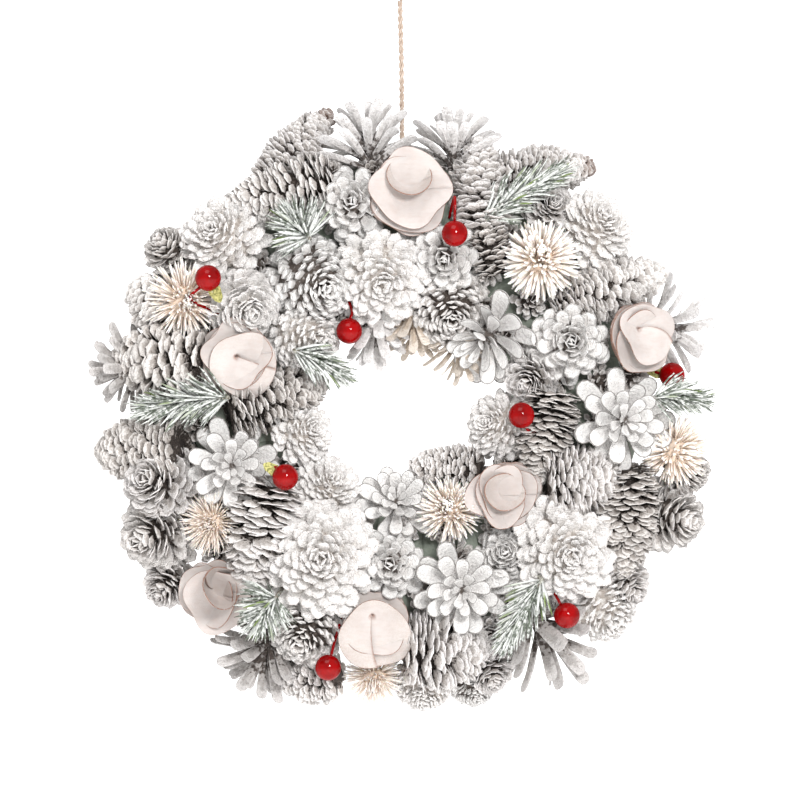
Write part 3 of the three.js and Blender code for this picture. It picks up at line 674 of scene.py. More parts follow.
@dataclass(frozen=True)
class Mottled:
    """A matt finish of two tones in soft patches."""

    name: str
    dark: str
    light: str
    grain: tuple[float, float]  # its patches in millimetres, and their detail
    limits: tuple[float, float]  # the noise at which it is all dark and all light
    roughness: float
    relief: Triple  # its grain in millimetres, its detail and its depth
    stretch: Triple = (1.0, 1.0, 1.0)

    def make(self) -> bpy.types.Material:
        """The material: the two tones over a relief that may have a grain of its own.

        Returns:
            The finished material.
        """
        made = Material(self.name)
        vector = made.stretched(self.stretch)
        tone = made.between(made.noise(*self.grain, vector), *self.limits)
        relief = made.noise(*self.relief[:2], vector)
        return made.finished(made.mix(tone, self.dark, self.light), self.roughness, relief, self.relief[2])


# Spun jute: streaked along its strands and fuzzy at a glance
JUTE = Mottled(
    "jute_twine", "#a28e7f", "#c4b3a5", (0.8, 5.0), (0.35, 0.65), 0.92, (0.8, 5.0, 0.3), (1, 1, 0.35)
)
# Scraps of yellow-green paper leaf: matt, with darker veins
PAPER_LEAF = Mottled(
    "paper_leaf_yellow_green", "#76763a", "#c9c47c", (1.2, 4.0), (0.35, 0.65), 0.6, (1.0, 3.0, 0.2)
)
# The thin bark of a spruce twig, grey-brown where the white spray missed it
BARK = Mottled("twig_bark_frosted", "#5b5347", "#b9b8ae", (1.5, 5.0), (0.4, 0.62), 0.85, (0.8, 4.0, 0.3))


@dataclass(frozen=True)
class Backdrop:
    """Seamless white studio paper, lit a little of its own so that it stays white behind the wreath."""

    name: str = "studio_paper"

    def make(self) -> bpy.types.Material:
        """The material: almost even white.

        Returns:
            The finished material.
        """
        made = Material(self.name)
        made.put(Emission_Color=linear("#ffffff"), Emission_Strength=0.6)
        return made.finished(made.mix(made.noise(40.0, 2.0), "#fbfbfb", "#fdfdfd"), 0.95)


class Look(Enum):
    """How a cone was finished."""

    # Pine with an even frost: brown deep between its scales, grey-white on them
    FROSTED = ConeFinish("pine_frosted", "#443a34", "#ccc5c0", "#f3efec", 0.22, 0.8, specks=0.6, edging=0.3)
    # Pine under thick whitewash: white nearly to the roots, with thin dark edges
    WHITE = ConeFinish("pine_whitewashed", "#554b45", "#e8e4e1", "#f8f6f4", 0.12, 0.5, specks=0.4, edging=0.5)
    # Pine coated in glue and mica: warm white, gritty, with glints
    GLITTER = ConeFinish("pine_mica_coated", "#ada39b", "#efebe7", "#f8f5f3", 0.04, 0.4, 0.2, 0.5, 0.6, 0.3)
    # Spruce with a patchy frost: dark roots, pale tips
    SPRUCE = ConeFinish("spruce_frosted", "#3c322d", "#c6bfba", "#f0ecea", 0.25, 0.9, specks=0.6)
    # Spruce that the spray only brushed: the darkest of the cones
    DARK = ConeFinish("spruce_thin_frost", "#332a25", "#afa7a1", "#e4dfdb", 0.31, 1.1, specks=0.6)
    # Broad smooth scales in cool white paint with dark thin edges
    PETAL = ConeFinish("cedar_rose_painted", "#5a514b", "#dfdcda", "#f1efed", 0.1, 0.4, 0.0, 0.35, 0.7, 0.8)
    # Strap-like scales in thin white paint
    STRAP = ConeFinish("strobus_painted", "#524a46", "#cfcbc9", "#eeebea", 0.12, 0.8, specks=0.5, edging=0.45)
    # The same scales painted darker, light grey: painted shade for the cones low and at the outer edge of the
    # wreath
    STRAP_SHADED = ConeFinish(
        "strobus_painted_shade", "#463d38", "#aaa5a2", "#d0ccca", 0.2, 0.9, specks=0.6, edging=0.5
    )
    # Unpainted strap-like scales, bleached to a warm tan
    TAN = ConeFinish("strobus_tan", "#7a6450", "#cdbcaa", "#e8ddd1", 0.06, 0.8, specks=0.4)


# Scales, spines and needles, each about a unit long from its root along +X, its upper side towards +Z


@dataclass(frozen=True)
class ScaleShape:
    """One scale of a cone, as a thin closed shell."""

    root_width: float
    widest: float
    widest_at: float
    thickness: float
    camber: float = 0.0  # how far its middle dips below its sides
    curl: float = 0.0  # how far its tip bends up
    boss: float = 0.0  # how far its tip swells
    bluntness: float = 2.2  # 1 for a pointed tip, 4 for a square one
    lengthwise: int = 3
    crosswise: int = 2

    SHARP_ANGLE: ClassVar[float] = math.radians(34)

    def half_width(self, u: float) -> float:
        """Half its width at a share of its length.

        Args:
            u: the share, 0 at its root and 1 at its tip.

        Returns:
            Half the width there.
        """
        if u < self.widest_at:
            s = u / self.widest_at
            return 0.5 * (self.root_width + (self.widest - self.root_width) * (3 - 2 * s) * s * s)
        s = (u - self.widest_at) / (1 - self.widest_at)
        return 0.5 * self.widest * math.sqrt(max(0.0, 1 - (0.985 * s) ** self.bluntness))

    def mesh(self, name: str) -> Mesh:
        """The scale's mesh.

        Args:
            name: the mesh's name.

        Returns:
            The mesh, with `tip` rising from 0 at its root to 1 at its tip, lower on its underside, and `rim`
            marking its edges, less on the underside.
        """
        points, tips, rims = [], [], []
        for side in (1, -1):
            for i in range(self.lengthwise + 1):
                u = math.sin(math.pi / 2 * i / self.lengthwise)
                for k in range(self.crosswise + 1):
                    v = 2 * k / self.crosswise - 1
                    dip = self.camber * (1 - v * v) * math.sin(math.pi * min(1, u * 1.1))
                    swell = self.boss * math.exp(-(((u - 0.82) / 0.16) ** 2)) * (1 - v * v)
                    half = self.thickness * (0.5 + 0.5 * (1 - v * v)) * 0.5
                    z = self.curl * u * u - dip + side * half + (swell if side > 0 else -0.3 * swell)
                    points.append((u, v * self.half_width(u), z))
                    # The underside gets less spray, and its lower `tip` and `rim` also darken it as painted
                    # shade under the scale
                    tips.append(u if side > 0 else u**1.6 * 0.9)
                    rims.append(max(abs(v), u**4) * (1.0 if side > 0 else 0.8))
        faces = sheet_faces(self.lengthwise + 1, self.crosswise + 1)
        mesh = mesh_from(name, points, faces, {"tip": tips, "rim": rims})
        mesh.set_sharp_from_angle(angle=self.SHARP_ANGLE)
        return mesh


@dataclass(frozen=True)
class SpineShape:
    """One spine or needle: a slim closed spindle that may bend."""

    radius: float
    bend: float = 0.0
    profile: tuple[float, float, float, float] = (0.8, 1.0, 0.75, 0.15)  # its radius at each of the STATIONS
    flat: float = 1.0

    STATIONS: ClassVar[tuple[float, ...]] = (0.0, 0.35, 0.78, 1.0)
    SIDES: ClassVar[int] = 3

    def mesh(self, name: str) -> Mesh:
        """The spine's mesh.

        Args:
            name: the mesh's name.

        Returns:
            The mesh, with `tip` rising from its root to its point.
        """
        points, tips = [], []
        for u, share in zip(self.STATIONS, self.profile):
            for k in range(self.SIDES):
                angle = 2 * math.pi * k / self.SIDES
                y = math.cos(angle) * self.radius * share
                z = math.sin(angle) * self.radius * share * self.flat + self.bend * u * u
                points.append((u, y, z))
                tips.append(u)
        faces = [tuple(reversed(f)) for f in ring_faces(len(self.STATIONS), self.SIDES)]
        return mesh_from(name, points, faces, {"tip": tips})


# Tubes: spindles, wires, stems and twine


def smooth_path(points: Sequence[Sequence[float]], steps: int) -> np.ndarray:
    """Evenly spaced points on a smooth curve through the given ones.

    Args:
        points: the points that the curve passes.
        steps: how many equal steps it is cut into.

    Returns:
        The points, one in each row.
    """
    given = np.array([points[0], *points, points[-1]], dtype=float)
    given[0] = 2 * given[1] - given[2]
    given[-1] = 2 * given[-2] - given[-3]
    fine = []
    for i in range(1, len(given) - 2):
        a, b, c, d = given[i - 1 : i + 3]
        for t in np.linspace(0, 1, 24, endpoint=False):
            bent = (2 * a - 5 * b + 4 * c - d) * t**2 + (3 * b - a - 3 * c + d) * t**3
            fine.append(0.5 * (2 * b + (c - a) * t + bent))
    line = np.array([*fine, given[-2]])
    run = run_along(line)
    even = np.linspace(0, run[-1], steps + 1)
    return np.stack([np.interp(even, run, line[:, i]) for i in range(3)], axis=1)


def run_along(path: np.ndarray) -> np.ndarray:
    """How far along a path each of its points lies."""
    return np.concatenate([[0], np.cumsum(np.linalg.norm(np.diff(path, axis=0), axis=1))])


def frames_along(path: np.ndarray) -> tuple[np.ndarray, np.ndarray, np.ndarray]:
    """Three directions at each point of a path, which don't twist about it.

    Args:
        path: the points.

    Returns:
        The direction of the path at each point, and two others square to it.
    """
    along = np.gradient(path, axis=0)
    along /= np.linalg.norm(along, axis=1)[:, None]
    side = np.array((0.0, 1.0, 0.0)) if abs(along[0][1]) < 0.9 else np.array((1.0, 0.0, 0.0))
    sides = []
    for direction in along:
        side = side - direction * side.dot(direction)
        side /= np.linalg.norm(side)
        sides.append(side)
    return along, np.array(sides), np.cross(along, np.array(sides))


def tube(name: str, path: np.ndarray, radii: Sequence[float] | float, around: int = 8) -> Mesh:
    """A closed tube along a path.

    Args:
        name: the mesh's name.
        path: the points that its middle passes.
        radii: its radius at each of them, or everywhere.
        around: how many sides it has.

    Returns:
        The mesh, with `tip` rising from 0 at its start to 1 at its end.
    """
    _, side, other = frames_along(path)
    turn = np.linspace(0, 2 * math.pi, around, endpoint=False)
    ring = np.cos(turn)[None, :, None] * side[:, None] + np.sin(turn)[None, :, None] * other[:, None]
    radii = np.broadcast_to(radii, len(path))
    points = (path[:, None] + ring * radii[:, None, None]).reshape(-1, 3)
    tips = np.repeat(np.linspace(0, 1, len(path)), around)
    return mesh_from(name, points, ring_faces(len(path), around), {"tip": tips})


# What grows on a spiral


class Growth:
    """The Geometry Nodes trees that grow scales, spines and needles on a spiral, and grit on a surface."""

    SPIRAL_INPUTS: ClassVar[dict[str, str]] = {
        "Geometry": "Geometry",
        "Count": "Int",
        "Length": "Float",
        "Crowding": "Float",
        **{f"{size} {part}": "Float" for size in ("Core", "Lift", "Size") for part in PARTS},
        "Unevenness": "Float",
        "Crumble": "Float",
        "Seed": "Int",
        "Material": "Material",
    }
    GRIT_INPUTS: ClassVar[dict[str, str]] = {
        "Geometry": "Geometry", "Density": "Float", "Grain": "Float", "Seed": "Int", "Material": "Material",
    }
    LUMP_SCALE: ClassVar[float] = 0.55  # lumps of about 2 mm, which push a scale out of its regular shape

    def __init__(self) -> None:
        """Builds the trees."""
        self.blend = self.blend_tree()
        self.spiral = self.spiral_tree()
        self.grit = self.grit_tree()

    @staticmethod
    def copies(tree: Tree, points: Socket, shape: Socket, euler: Socket, scale: Socket) -> Socket:
        """Copies of a shape on points.

        Args:
            tree: the tree.
            points: the points.
            shape: the shape.
            euler: three angles that each copy is turned by.
            scale: the size of each copy.

        Returns:
            The copies.
        """
        turned = add_node(tree, "FunctionNodeEulerToRotation", links={0: euler}).outputs[0]
        links = {"Points": points, "Instance": shape, "Rotation": turned, "Scale": scale}
        return add_node(tree, "GeometryNodeInstanceOnPoints", links=links).outputs[0]

    @staticmethod
    def realized(tree: Tree, copies: Socket, marks: dict[str, Any]) -> Socket:
        """Copies made real, after each is given numbers that its material can read.

        Args:
            tree: the tree.
            copies: the copies.
            marks: a value or a socket for each attribute's name.

        Returns:
            One mesh of the copies.
        """
        for name, value in marks.items():
            settings = {"data_type": "FLOAT", "domain": "INSTANCE"}
            links = {"Geometry": copies, "Name": name, "Value": value}
            copies = add_node(tree, "GeometryNodeStoreNamedAttribute", settings, links).outputs[0]
        return add_node(tree, "GeometryNodeRealizeInstances", links={0: copies}).outputs[0]

    @staticmethod
    def end(tree: Tree, geometry: Socket, material: Socket) -> Tree:
        """Dresses a geometry and hands it out of its tree.

        Args:
            tree: the tree.
            geometry: the geometry.
            material: its material.

        Returns:
            The finished tree.
        """
        links = {"Geometry": geometry, "Material": material}
        dressed = add_node(tree, "GeometryNodeSetMaterial", links=links)
        add_node(tree, "NodeGroupOutput", links={0: dressed.outputs[0]})
        return tree

    def blend_tree(self) -> Tree:
        """The tree for a number that passes over a middle from a base to a tip.

        Returns:
            The tree, which takes a share and the three numbers.
        """
        tree, given = new_tree("blend_of_three", dict.fromkeys(("Share", *PARTS), "Float"), "Float")

        def mixed(first: Any, second: Any) -> Socket:
            """The value at the share between two."""
            return add_node(tree, "ShaderNodeMix", links={0: given["Share"], 2: first, 3: second}).outputs[0]

        low, high = mixed(given["Base"], given["Middle"]), mixed(given["Middle"], given["Tip"])
        add_node(tree, "NodeGroupOutput", links={0: mixed(low, high)})
        return tree

    def spiral_tree(self) -> Tree:
        """The tree that sets copies of a shape out on a golden spiral round +Z, each sized by its place.

        Returns:
            The tree, whose result carries `row`, the share of the way up, and `shade`, a random number, on
            each copy.
        """
        tree, given = new_tree("spiral_of_scales", self.SPIRAL_INPUTS)

        def sums(operation: str, *values: Any) -> Socket:
            """The result of a sum."""
            return sum_in(tree, operation, *values)

        def drawn(low: float, high: float, offset: int) -> Socket:
            """A seeded random number for each copy."""
            links = {2: low, 3: high, 8: sums("ADD", given["Seed"], offset)}
            return add_node(tree, "FunctionNodeRandomValue", {"data_type": "FLOAT"}, links).outputs[1]

        def wobble(offset: int) -> Socket:
            """A random number for each copy, as large as the unevenness, either way."""
            return sums("MULTIPLY", drawn(-1, 1, offset), given["Unevenness"])

        def by_place(name: str) -> Socket:
            """The named size at this copy's share of the way up."""
            links = {"Share": share, **{part: given[f"{name} {part}"] for part in PARTS}}
            return add_node(tree, "GeometryNodeGroup", {"node_tree": self.blend}, links).outputs[0]

        index = add_node(tree, "GeometryNodeInputIndex").outputs[0]
        share = sums("DIVIDE", sums("ADD", index, 0.5), given["Count"])
        angle = sums("ADD", sums("MULTIPLY", index, GOLDEN_ANGLE), wobble(1))
        core = by_place("Core")
        height = sums("MULTIPLY", given["Length"], sums("POWER", share, given["Crowding"]))
        cosine, sine = sums("COSINE", angle), sums("SINE", angle)
        spot = {0: sums("MULTIPLY", core, cosine), 1: sums("MULTIPLY", core, sine), 2: height}
        position = add_node(tree, "ShaderNodeCombineXYZ", links=spot).outputs[0]
        links = {"Count": given["Count"], "Position": position}
        points = add_node(tree, "GeometryNodePoints", links=links).outputs[0]
        turns = {0: wobble(2), 1: sums("SUBTRACT", wobble(3), by_place("Lift")), 2: angle}
        euler = add_node(tree, "ShaderNodeCombineXYZ", links=turns).outputs[0]
        size = sums("MULTIPLY", by_place("Size"), sums("MULTIPLY_ADD", wobble(4), 0.6, 1.0))
        copies = self.copies(tree, points, given["Geometry"], euler, size)
        real = self.realized(tree, copies, {"row": share, "shade": drawn(0, 1, 5)})
        place = add_node(tree, "GeometryNodeInputPosition").outputs[0]
        links = {"Vector": place, "Scale": self.LUMP_SCALE, "Detail": 2.0}
        lumps = add_node(tree, "ShaderNodeTexNoise", links=links).outputs["Color"]
        links = {0: lumps, 1: (0.5, 0.5, 0.5)}
        centred = add_node(tree, "ShaderNodeVectorMath", {"operation": "SUBTRACT"}, links).outputs[0]
        links = {0: centred, 3: given["Crumble"]}
        offset = add_node(tree, "ShaderNodeVectorMath", {"operation": "SCALE"}, links).outputs[0]
        links = {"Geometry": real, "Offset": offset}
        moved = add_node(tree, "GeometryNodeSetPosition", links=links).outputs[0]
        return self.end(tree, moved, given["Material"])

    def grit_tree(self) -> Tree:
        """The tree that scatters grains of mica over a surface, most of them near the scales' tips.

        Returns:
            The tree, whose result holds the surface and its grains.
        """
        tree, given = new_tree("grit_on_scales", self.GRIT_INPUTS)

        def drawn(low: float, high: float) -> Socket:
            """Three seeded random numbers for each grain."""
            links = {0: (low,) * 3, 1: (high,) * 3, 8: given["Seed"]}
            return add_node(tree, "FunctionNodeRandomValue", {"data_type": "FLOAT_VECTOR"}, links).outputs[0]

        named = add_node(tree, "GeometryNodeInputNamedAttribute", {"data_type": "FLOAT"}, {"Name": "tip"})
        density = sum_in(tree, "MULTIPLY", named.outputs[0], given["Density"])
        links = {"Mesh": given["Geometry"], "Density": density, "Seed": given["Seed"]}
        spots = add_node(tree, "GeometryNodeDistributePointsOnFaces", links=links).outputs[0]
        links = {"Segments": 4, "Rings": 2, "Radius": 1.0}
        grain = add_node(tree, "GeometryNodeMeshUVSphere", links=links).outputs[0]
        links = {0: drawn(0.3, 1.0), 3: given["Grain"]}
        size = add_node(tree, "ShaderNodeVectorMath", {"operation": "SCALE"}, links).outputs[0]
        grains = self.copies(tree, spots, grain, drawn(0, 6.3), size)
        real = self.realized(tree, grains, {"tip": 1.0, "shade": 1.0})
        both = tree.nodes.new("GeometryNodeJoinGeometry")
        for part in (real, given["Geometry"]):
            tree.links.new(part, both.inputs[0])
        return self.end(tree, both.outputs[0], given["Material"])


@dataclass
class Workshop:
    """What every piece shares: the trees, the finished materials and the count of seeds drawn."""

    growth: Growth = field(default_factory=Growth)
    materials: dict[str, bpy.types.Material] = field(default_factory=dict)
    seed: int = 3

    # What the spiral is given where a piece doesn't say
    USUAL: ClassVar[dict[str, float]] = {"length": 0.0, "crowding": 1.0, "unevenness": 0.12, "crumble": 1.0}
    SPINDLE_RINGS: ClassVar[int] = 7
    SPINDLE_SIDES: ClassVar[int] = 10

    def finish(self, wanted: Any) -> bpy.types.Material:
        """The material of a finish or a look, made once.

        Args:
            wanted: the finish or the look.

        Returns:
            Its material.
        """
        wanted = wanted.value if isinstance(wanted, Look) else wanted
        if wanted.name not in self.materials:
            self.materials[wanted.name] = wanted.make()
        return self.materials[wanted.name]

    def coated(self, mesh: Mesh, finish: Any) -> Mesh:
        """The mesh with its finish."""
        mesh.materials.append(self.finish(finish))
        return mesh

    def next_seed(self) -> int:
        """The next seed."""
        self.seed += 1
        return self.seed

    def grow(self, name: str, shape: ScaleShape | SpineShape, finish: Any, **sizes: Any) -> Mesh:
        """A spiral of one shape.

        Args:
            name: the name of the result.
            shape: the scale or spine that is repeated.
            finish: its finish.
            **sizes: the tree's inputs, with three numbers each for core, lift and size.

        Returns:
            The mesh, in millimetres, with its axis along +Z.
        """
        values = {"Seed": self.next_seed(), "Material": self.finish(finish), "Count": int(sizes["count"])}
        for key in ("core", "lift", "size"):
            values |= {f"{key.title()} {part}": float(number) for part, number in zip(PARTS, sizes[key])}
        for key, usual in self.USUAL.items():
            values[key.title()] = float(sizes.get(key, usual))
        return run_tree(name, shape.mesh(name), self.growth.spiral, values)

    def spindle(
        self, name: str, finish: Any, length: float, core: Sequence[float], swell: float = 1.0
    ) -> Mesh:
        """The solid middle of a cone, that its scales grow from.

        Args:
            name: the mesh's name.
            finish: its finish.
            length: how long it is.
            core: its radius at its base, its middle and its tip.
            swell: how many times thicker than that it is.

        Returns:
            The mesh, in millimetres, with its axis along +Z.
        """
        share = np.linspace(0, 1, self.SPINDLE_RINGS)
        radii = core[0] * (1 - share) ** 2 + 2 * core[1] * share * (1 - share) + core[2] * share**2
        path = np.stack([share * 0, share * 0, share * length], axis=1)
        mesh = tube(name, path, radii * swell, self.SPINDLE_SIDES)
        for key, value in (("tip", 0.0), ("row", 0.0), ("shade", 0.3)):
            mark(mesh, key, [value] * len(mesh.vertices))
        return self.coated(mesh, finish)

    def gritted(self, name: str, mesh: Mesh, finish: Any, density: float, grain: float = 0.7) -> Mesh:
        """The mesh with grains of mica on it.

        Args:
            name: the name of the result.
            mesh: the mesh.
            finish: the finish of both.
            density: how many grains there are on each square millimetre at a scale's tip.
            grain: the radius of the largest, in millimetres.

        Returns:
            The mesh and its grains as one mesh.
        """
        values = {"Density": density, "Grain": grain}
        values |= {"Seed": self.next_seed(), "Material": self.finish(finish)}
        return run_tree(name, mesh, self.growth.grit, values)


# Cones


@dataclass(frozen=True)
class Build:
    """How a round cone is built: its scale, and its sizes as shares of its radius at base, middle and tip."""

    scale: ScaleShape
    count: int
    length: float
    core: Triple
    lift: Triple
    size: Triple
    crumble: float = 1.0
    sunk: float = 0.0  # how far its base lies behind its place


class Form(Enum):
    """The builds of round cones."""

    # Opened like a rose: few broad smooth scales
    ROSE = Build(
        ScaleShape(0.32, 0.7, 0.68, 0.06, camber=0.08, curl=0.12, boss=0.02, lengthwise=4),
        52, 0.85, (0.4, 0.4, 0.02), (-0.2, 0.65, 1.45), (0.6, 0.6, 0.28), 1.3,
    )
    # Half closed: a dome of small blunt scales
    DOME = Build(
        ScaleShape(0.5, 0.8, 0.72, 0.14, camber=-0.04, curl=0.06, boss=0.1),
        165, 1.25, (0.55, 0.9, 0.05), (-0.25, 0.42, 1.35), (0.37, 0.35, 0.22), 1.8, 0.35,
    )
    # Open and ragged: thin scales stand apart
    RAGGED = Build(
        ScaleShape(0.36, 0.7, 0.7, 0.055, camber=0.1, curl=0.12, bluntness=1.8),
        115, 1.15, (0.36, 0.44, 0.03), (-0.15, 0.42, 1.4), (0.6, 0.58, 0.34), 2.4, 0.25,
    )
    # Big lobes under a thick coat
    LOBED = Build(
        ScaleShape(0.36, 0.74, 0.58, 0.1, camber=0.0, curl=0.1, boss=0.04, bluntness=1.4),
        125, 0.8, (0.56, 0.6, 0.03), (-0.1, 0.45, 1.3), (0.46, 0.38, 0.2), 1.8,
    )


SPRUCE_SCALE = ScaleShape(0.4, 0.8, 0.66, 0.05, camber=0.12, curl=0.1, bluntness=2.4)
THICK_SCALE = ScaleShape(0.42, 0.8, 0.74, 0.14, camber=-0.04, curl=0.1, boss=0.08, bluntness=3.0)
PETAL_SCALE = ScaleShape(0.14, 0.4, 0.72, 0.035, 0.05, 0.12, bluntness=2.8, lengthwise=7, crosswise=4)
STRAP_SCALE = ScaleShape(0.13, 0.23, 0.84, 0.04, camber=0.05, curl=-0.24, bluntness=4.5, lengthwise=7)
UNDERGROWTH_SCALE = ScaleShape(0.36, 0.72, 0.72, 0.08, camber=0.1, curl=0.1, lengthwise=2)


def times(factor: float, shares: Iterable[float]) -> list[float]:
    """Each share times the factor."""
    return [factor * share for share in shares]


@dataclass(frozen=True)
class Lying:
    """A long cone on its side, from its stalk end to its tip."""

    base: Place
    tip: Place
    radius: float
    look: Look = Look.SPRUCE
    rise: float = 0.0
    count: int = 250
    scale: ScaleShape = SPRUCE_SCALE
    size: float = 1.0
    brown_tip: float = 0.0
    open: float = 1.0

    def meshes(self, shop: Workshop, name: str) -> list[Mesh]:
        """Grows the cone.

        Args:
            shop: the workshop.
            name: the name of its meshes.

        Returns:
            Its scales and its middle, in place.
        """
        r = self.radius * CROWDING
        start = place_at(self.base, r * 0.5 + self.rise)
        along = place_at(self.tip, r * 0.4 + self.rise) - start
        mesh = shop.grow(
            name,
            self.scale,
            self.look,
            count=round(self.count * 1.25),
            length=along.length * 0.98,
            core=times(r, (0.3, 0.8, 0.04)),
            lift=(-0.15, 0.08 / self.open, 1.1),
            size=times(r * self.size, (0.5, 0.62, 0.38)),
            unevenness=0.22,
            crumble=1.9,
        )
        self.wear_tip(mesh)
        core = shop.spindle(name, self.look, along.length * 0.96, times(r, (0.3, 0.82, 0.04)), 1.1)
        return placed([mesh, core], standing_on(start, along))

    def wear_tip(self, mesh: Mesh) -> None:
        """Marks the last rows of the scales as missed by the spray.

        Args:
            mesh: the scales.
        """
        rows = np.empty(len(mesh.vertices), dtype=np.float32)
        mesh.attributes["row"].data.foreach_get("value", rows)
        mark(mesh, "worn", np.clip((rows - 0.8) / 0.12, 0, 1) * self.brown_tip)


@dataclass(frozen=True)
class Rosette:
    """A round cone seen from its tip, which may lean right and up in the picture."""

    at: Place
    radius: float
    look: Look = Look.FROSTED
    rise: float = 0.0
    form: Form = Form.DOME
    lean: Place = (0.0, 0.0)
    grit: float = 0.0
    count: int = 0
    stretch: float = 1.0

    def meshes(self, shop: Workshop, name: str) -> list[Mesh]:
        """Grows the cone.

        Args:
            shop: the workshop.
            name: the name of its meshes.

        Returns:
            Its scales and its middle, in place.
        """
        form, r = self.form.value, self.radius * CROWDING
        along = facing_at(self.at, 0.6, self.lean).normalized()
        back = r * (form.sunk + 0.15 + 0.4 * (self.stretch - 1))
        length, core = r * form.length * self.stretch, times(r, form.core)
        mesh = shop.grow(
            name,
            form.scale,
            self.look,
            count=self.count or form.count,
            length=length,
            core=core,
            lift=form.lift,
            size=times(r, form.size),
            unevenness=0.21,
            crumble=form.crumble,
        )
        if self.grit:
            mesh = shop.gritted(name, mesh, self.look, self.grit)
        middle = shop.spindle(name, self.look, length * 0.97, core, 1.2)
        origin = place_at(self.at, r * 0.25 + self.rise) - along * back
        return placed([mesh, middle], standing_on(origin, along))


@dataclass(frozen=True)
class Petalled:
    """A wide-open cone seen face on, its smooth scales spread like petals."""

    at: Place
    radius: float
    rise: float = 0.0
    count: int = 32
    lean: Place = (0.0, 0.0)

    def meshes(self, shop: Workshop, name: str) -> list[Mesh]:
        """Grows the cone.

        Args:
            shop: the workshop.
            name: the name of its meshes.

        Returns:
            Its scales and its middle, in place.
        """
        r = self.radius
        along = facing_at(self.at, 0.5, self.lean).normalized()
        mesh = shop.grow(
            name,
            PETAL_SCALE,
            Look.PETAL,
            count=self.count,
            length=r * 0.6,
            crowding=1.3,
            core=times(r, (0.08, 0.1, 0.03)),
            lift=(0.0, 0.4, 1.1),
            size=times(r, (0.98, 0.92, 0.38)),
            unevenness=0.14,
            crumble=0.7,
        )
        core = shop.spindle(name, Look.PETAL, r * 0.5, times(r, (0.16, 0.16, 0.06)))
        return placed([mesh, core], standing_on(place_at(self.at, self.rise - r * 0.1), along))


@dataclass(frozen=True)
class Strap:
    """A dried open cone seen from the side, its strap-like scales fanning out from the base."""

    base: Place
    tip: Place
    radius: float
    look: Look = Look.STRAP
    rise: float = 0.0
    count: int = 36

    def meshes(self, shop: Workshop, name: str) -> list[Mesh]:
        """Grows the cone.

        Args:
            shop: the workshop.
            name: the name of its meshes.

        Returns:
            Its scales and its middle, in place.
        """
        start = place_at(self.base, self.rise + 4)
        along = place_at(self.tip, self.rise + 2) - start
        reach = max(along.length * 0.66, self.radius * CROWDING)
        mesh = shop.grow(
            name,
            STRAP_SCALE,
            self.look,
            count=self.count,
            length=along.length * 0.55,
            core=(reach * 0.08, reach * 0.08, 0.5),
            lift=(0.3, 0.8, 1.25),
            size=(reach, reach, along.length * 0.5),
            unevenness=0.2,
            crumble=0.9,
        )
        core = shop.spindle(name, self.look, along.length * 0.55, (reach * 0.1, reach * 0.1, 0.6))
        return placed([mesh, core], standing_on(start, along))


Cone = Lying | Rosette | Petalled | Strap

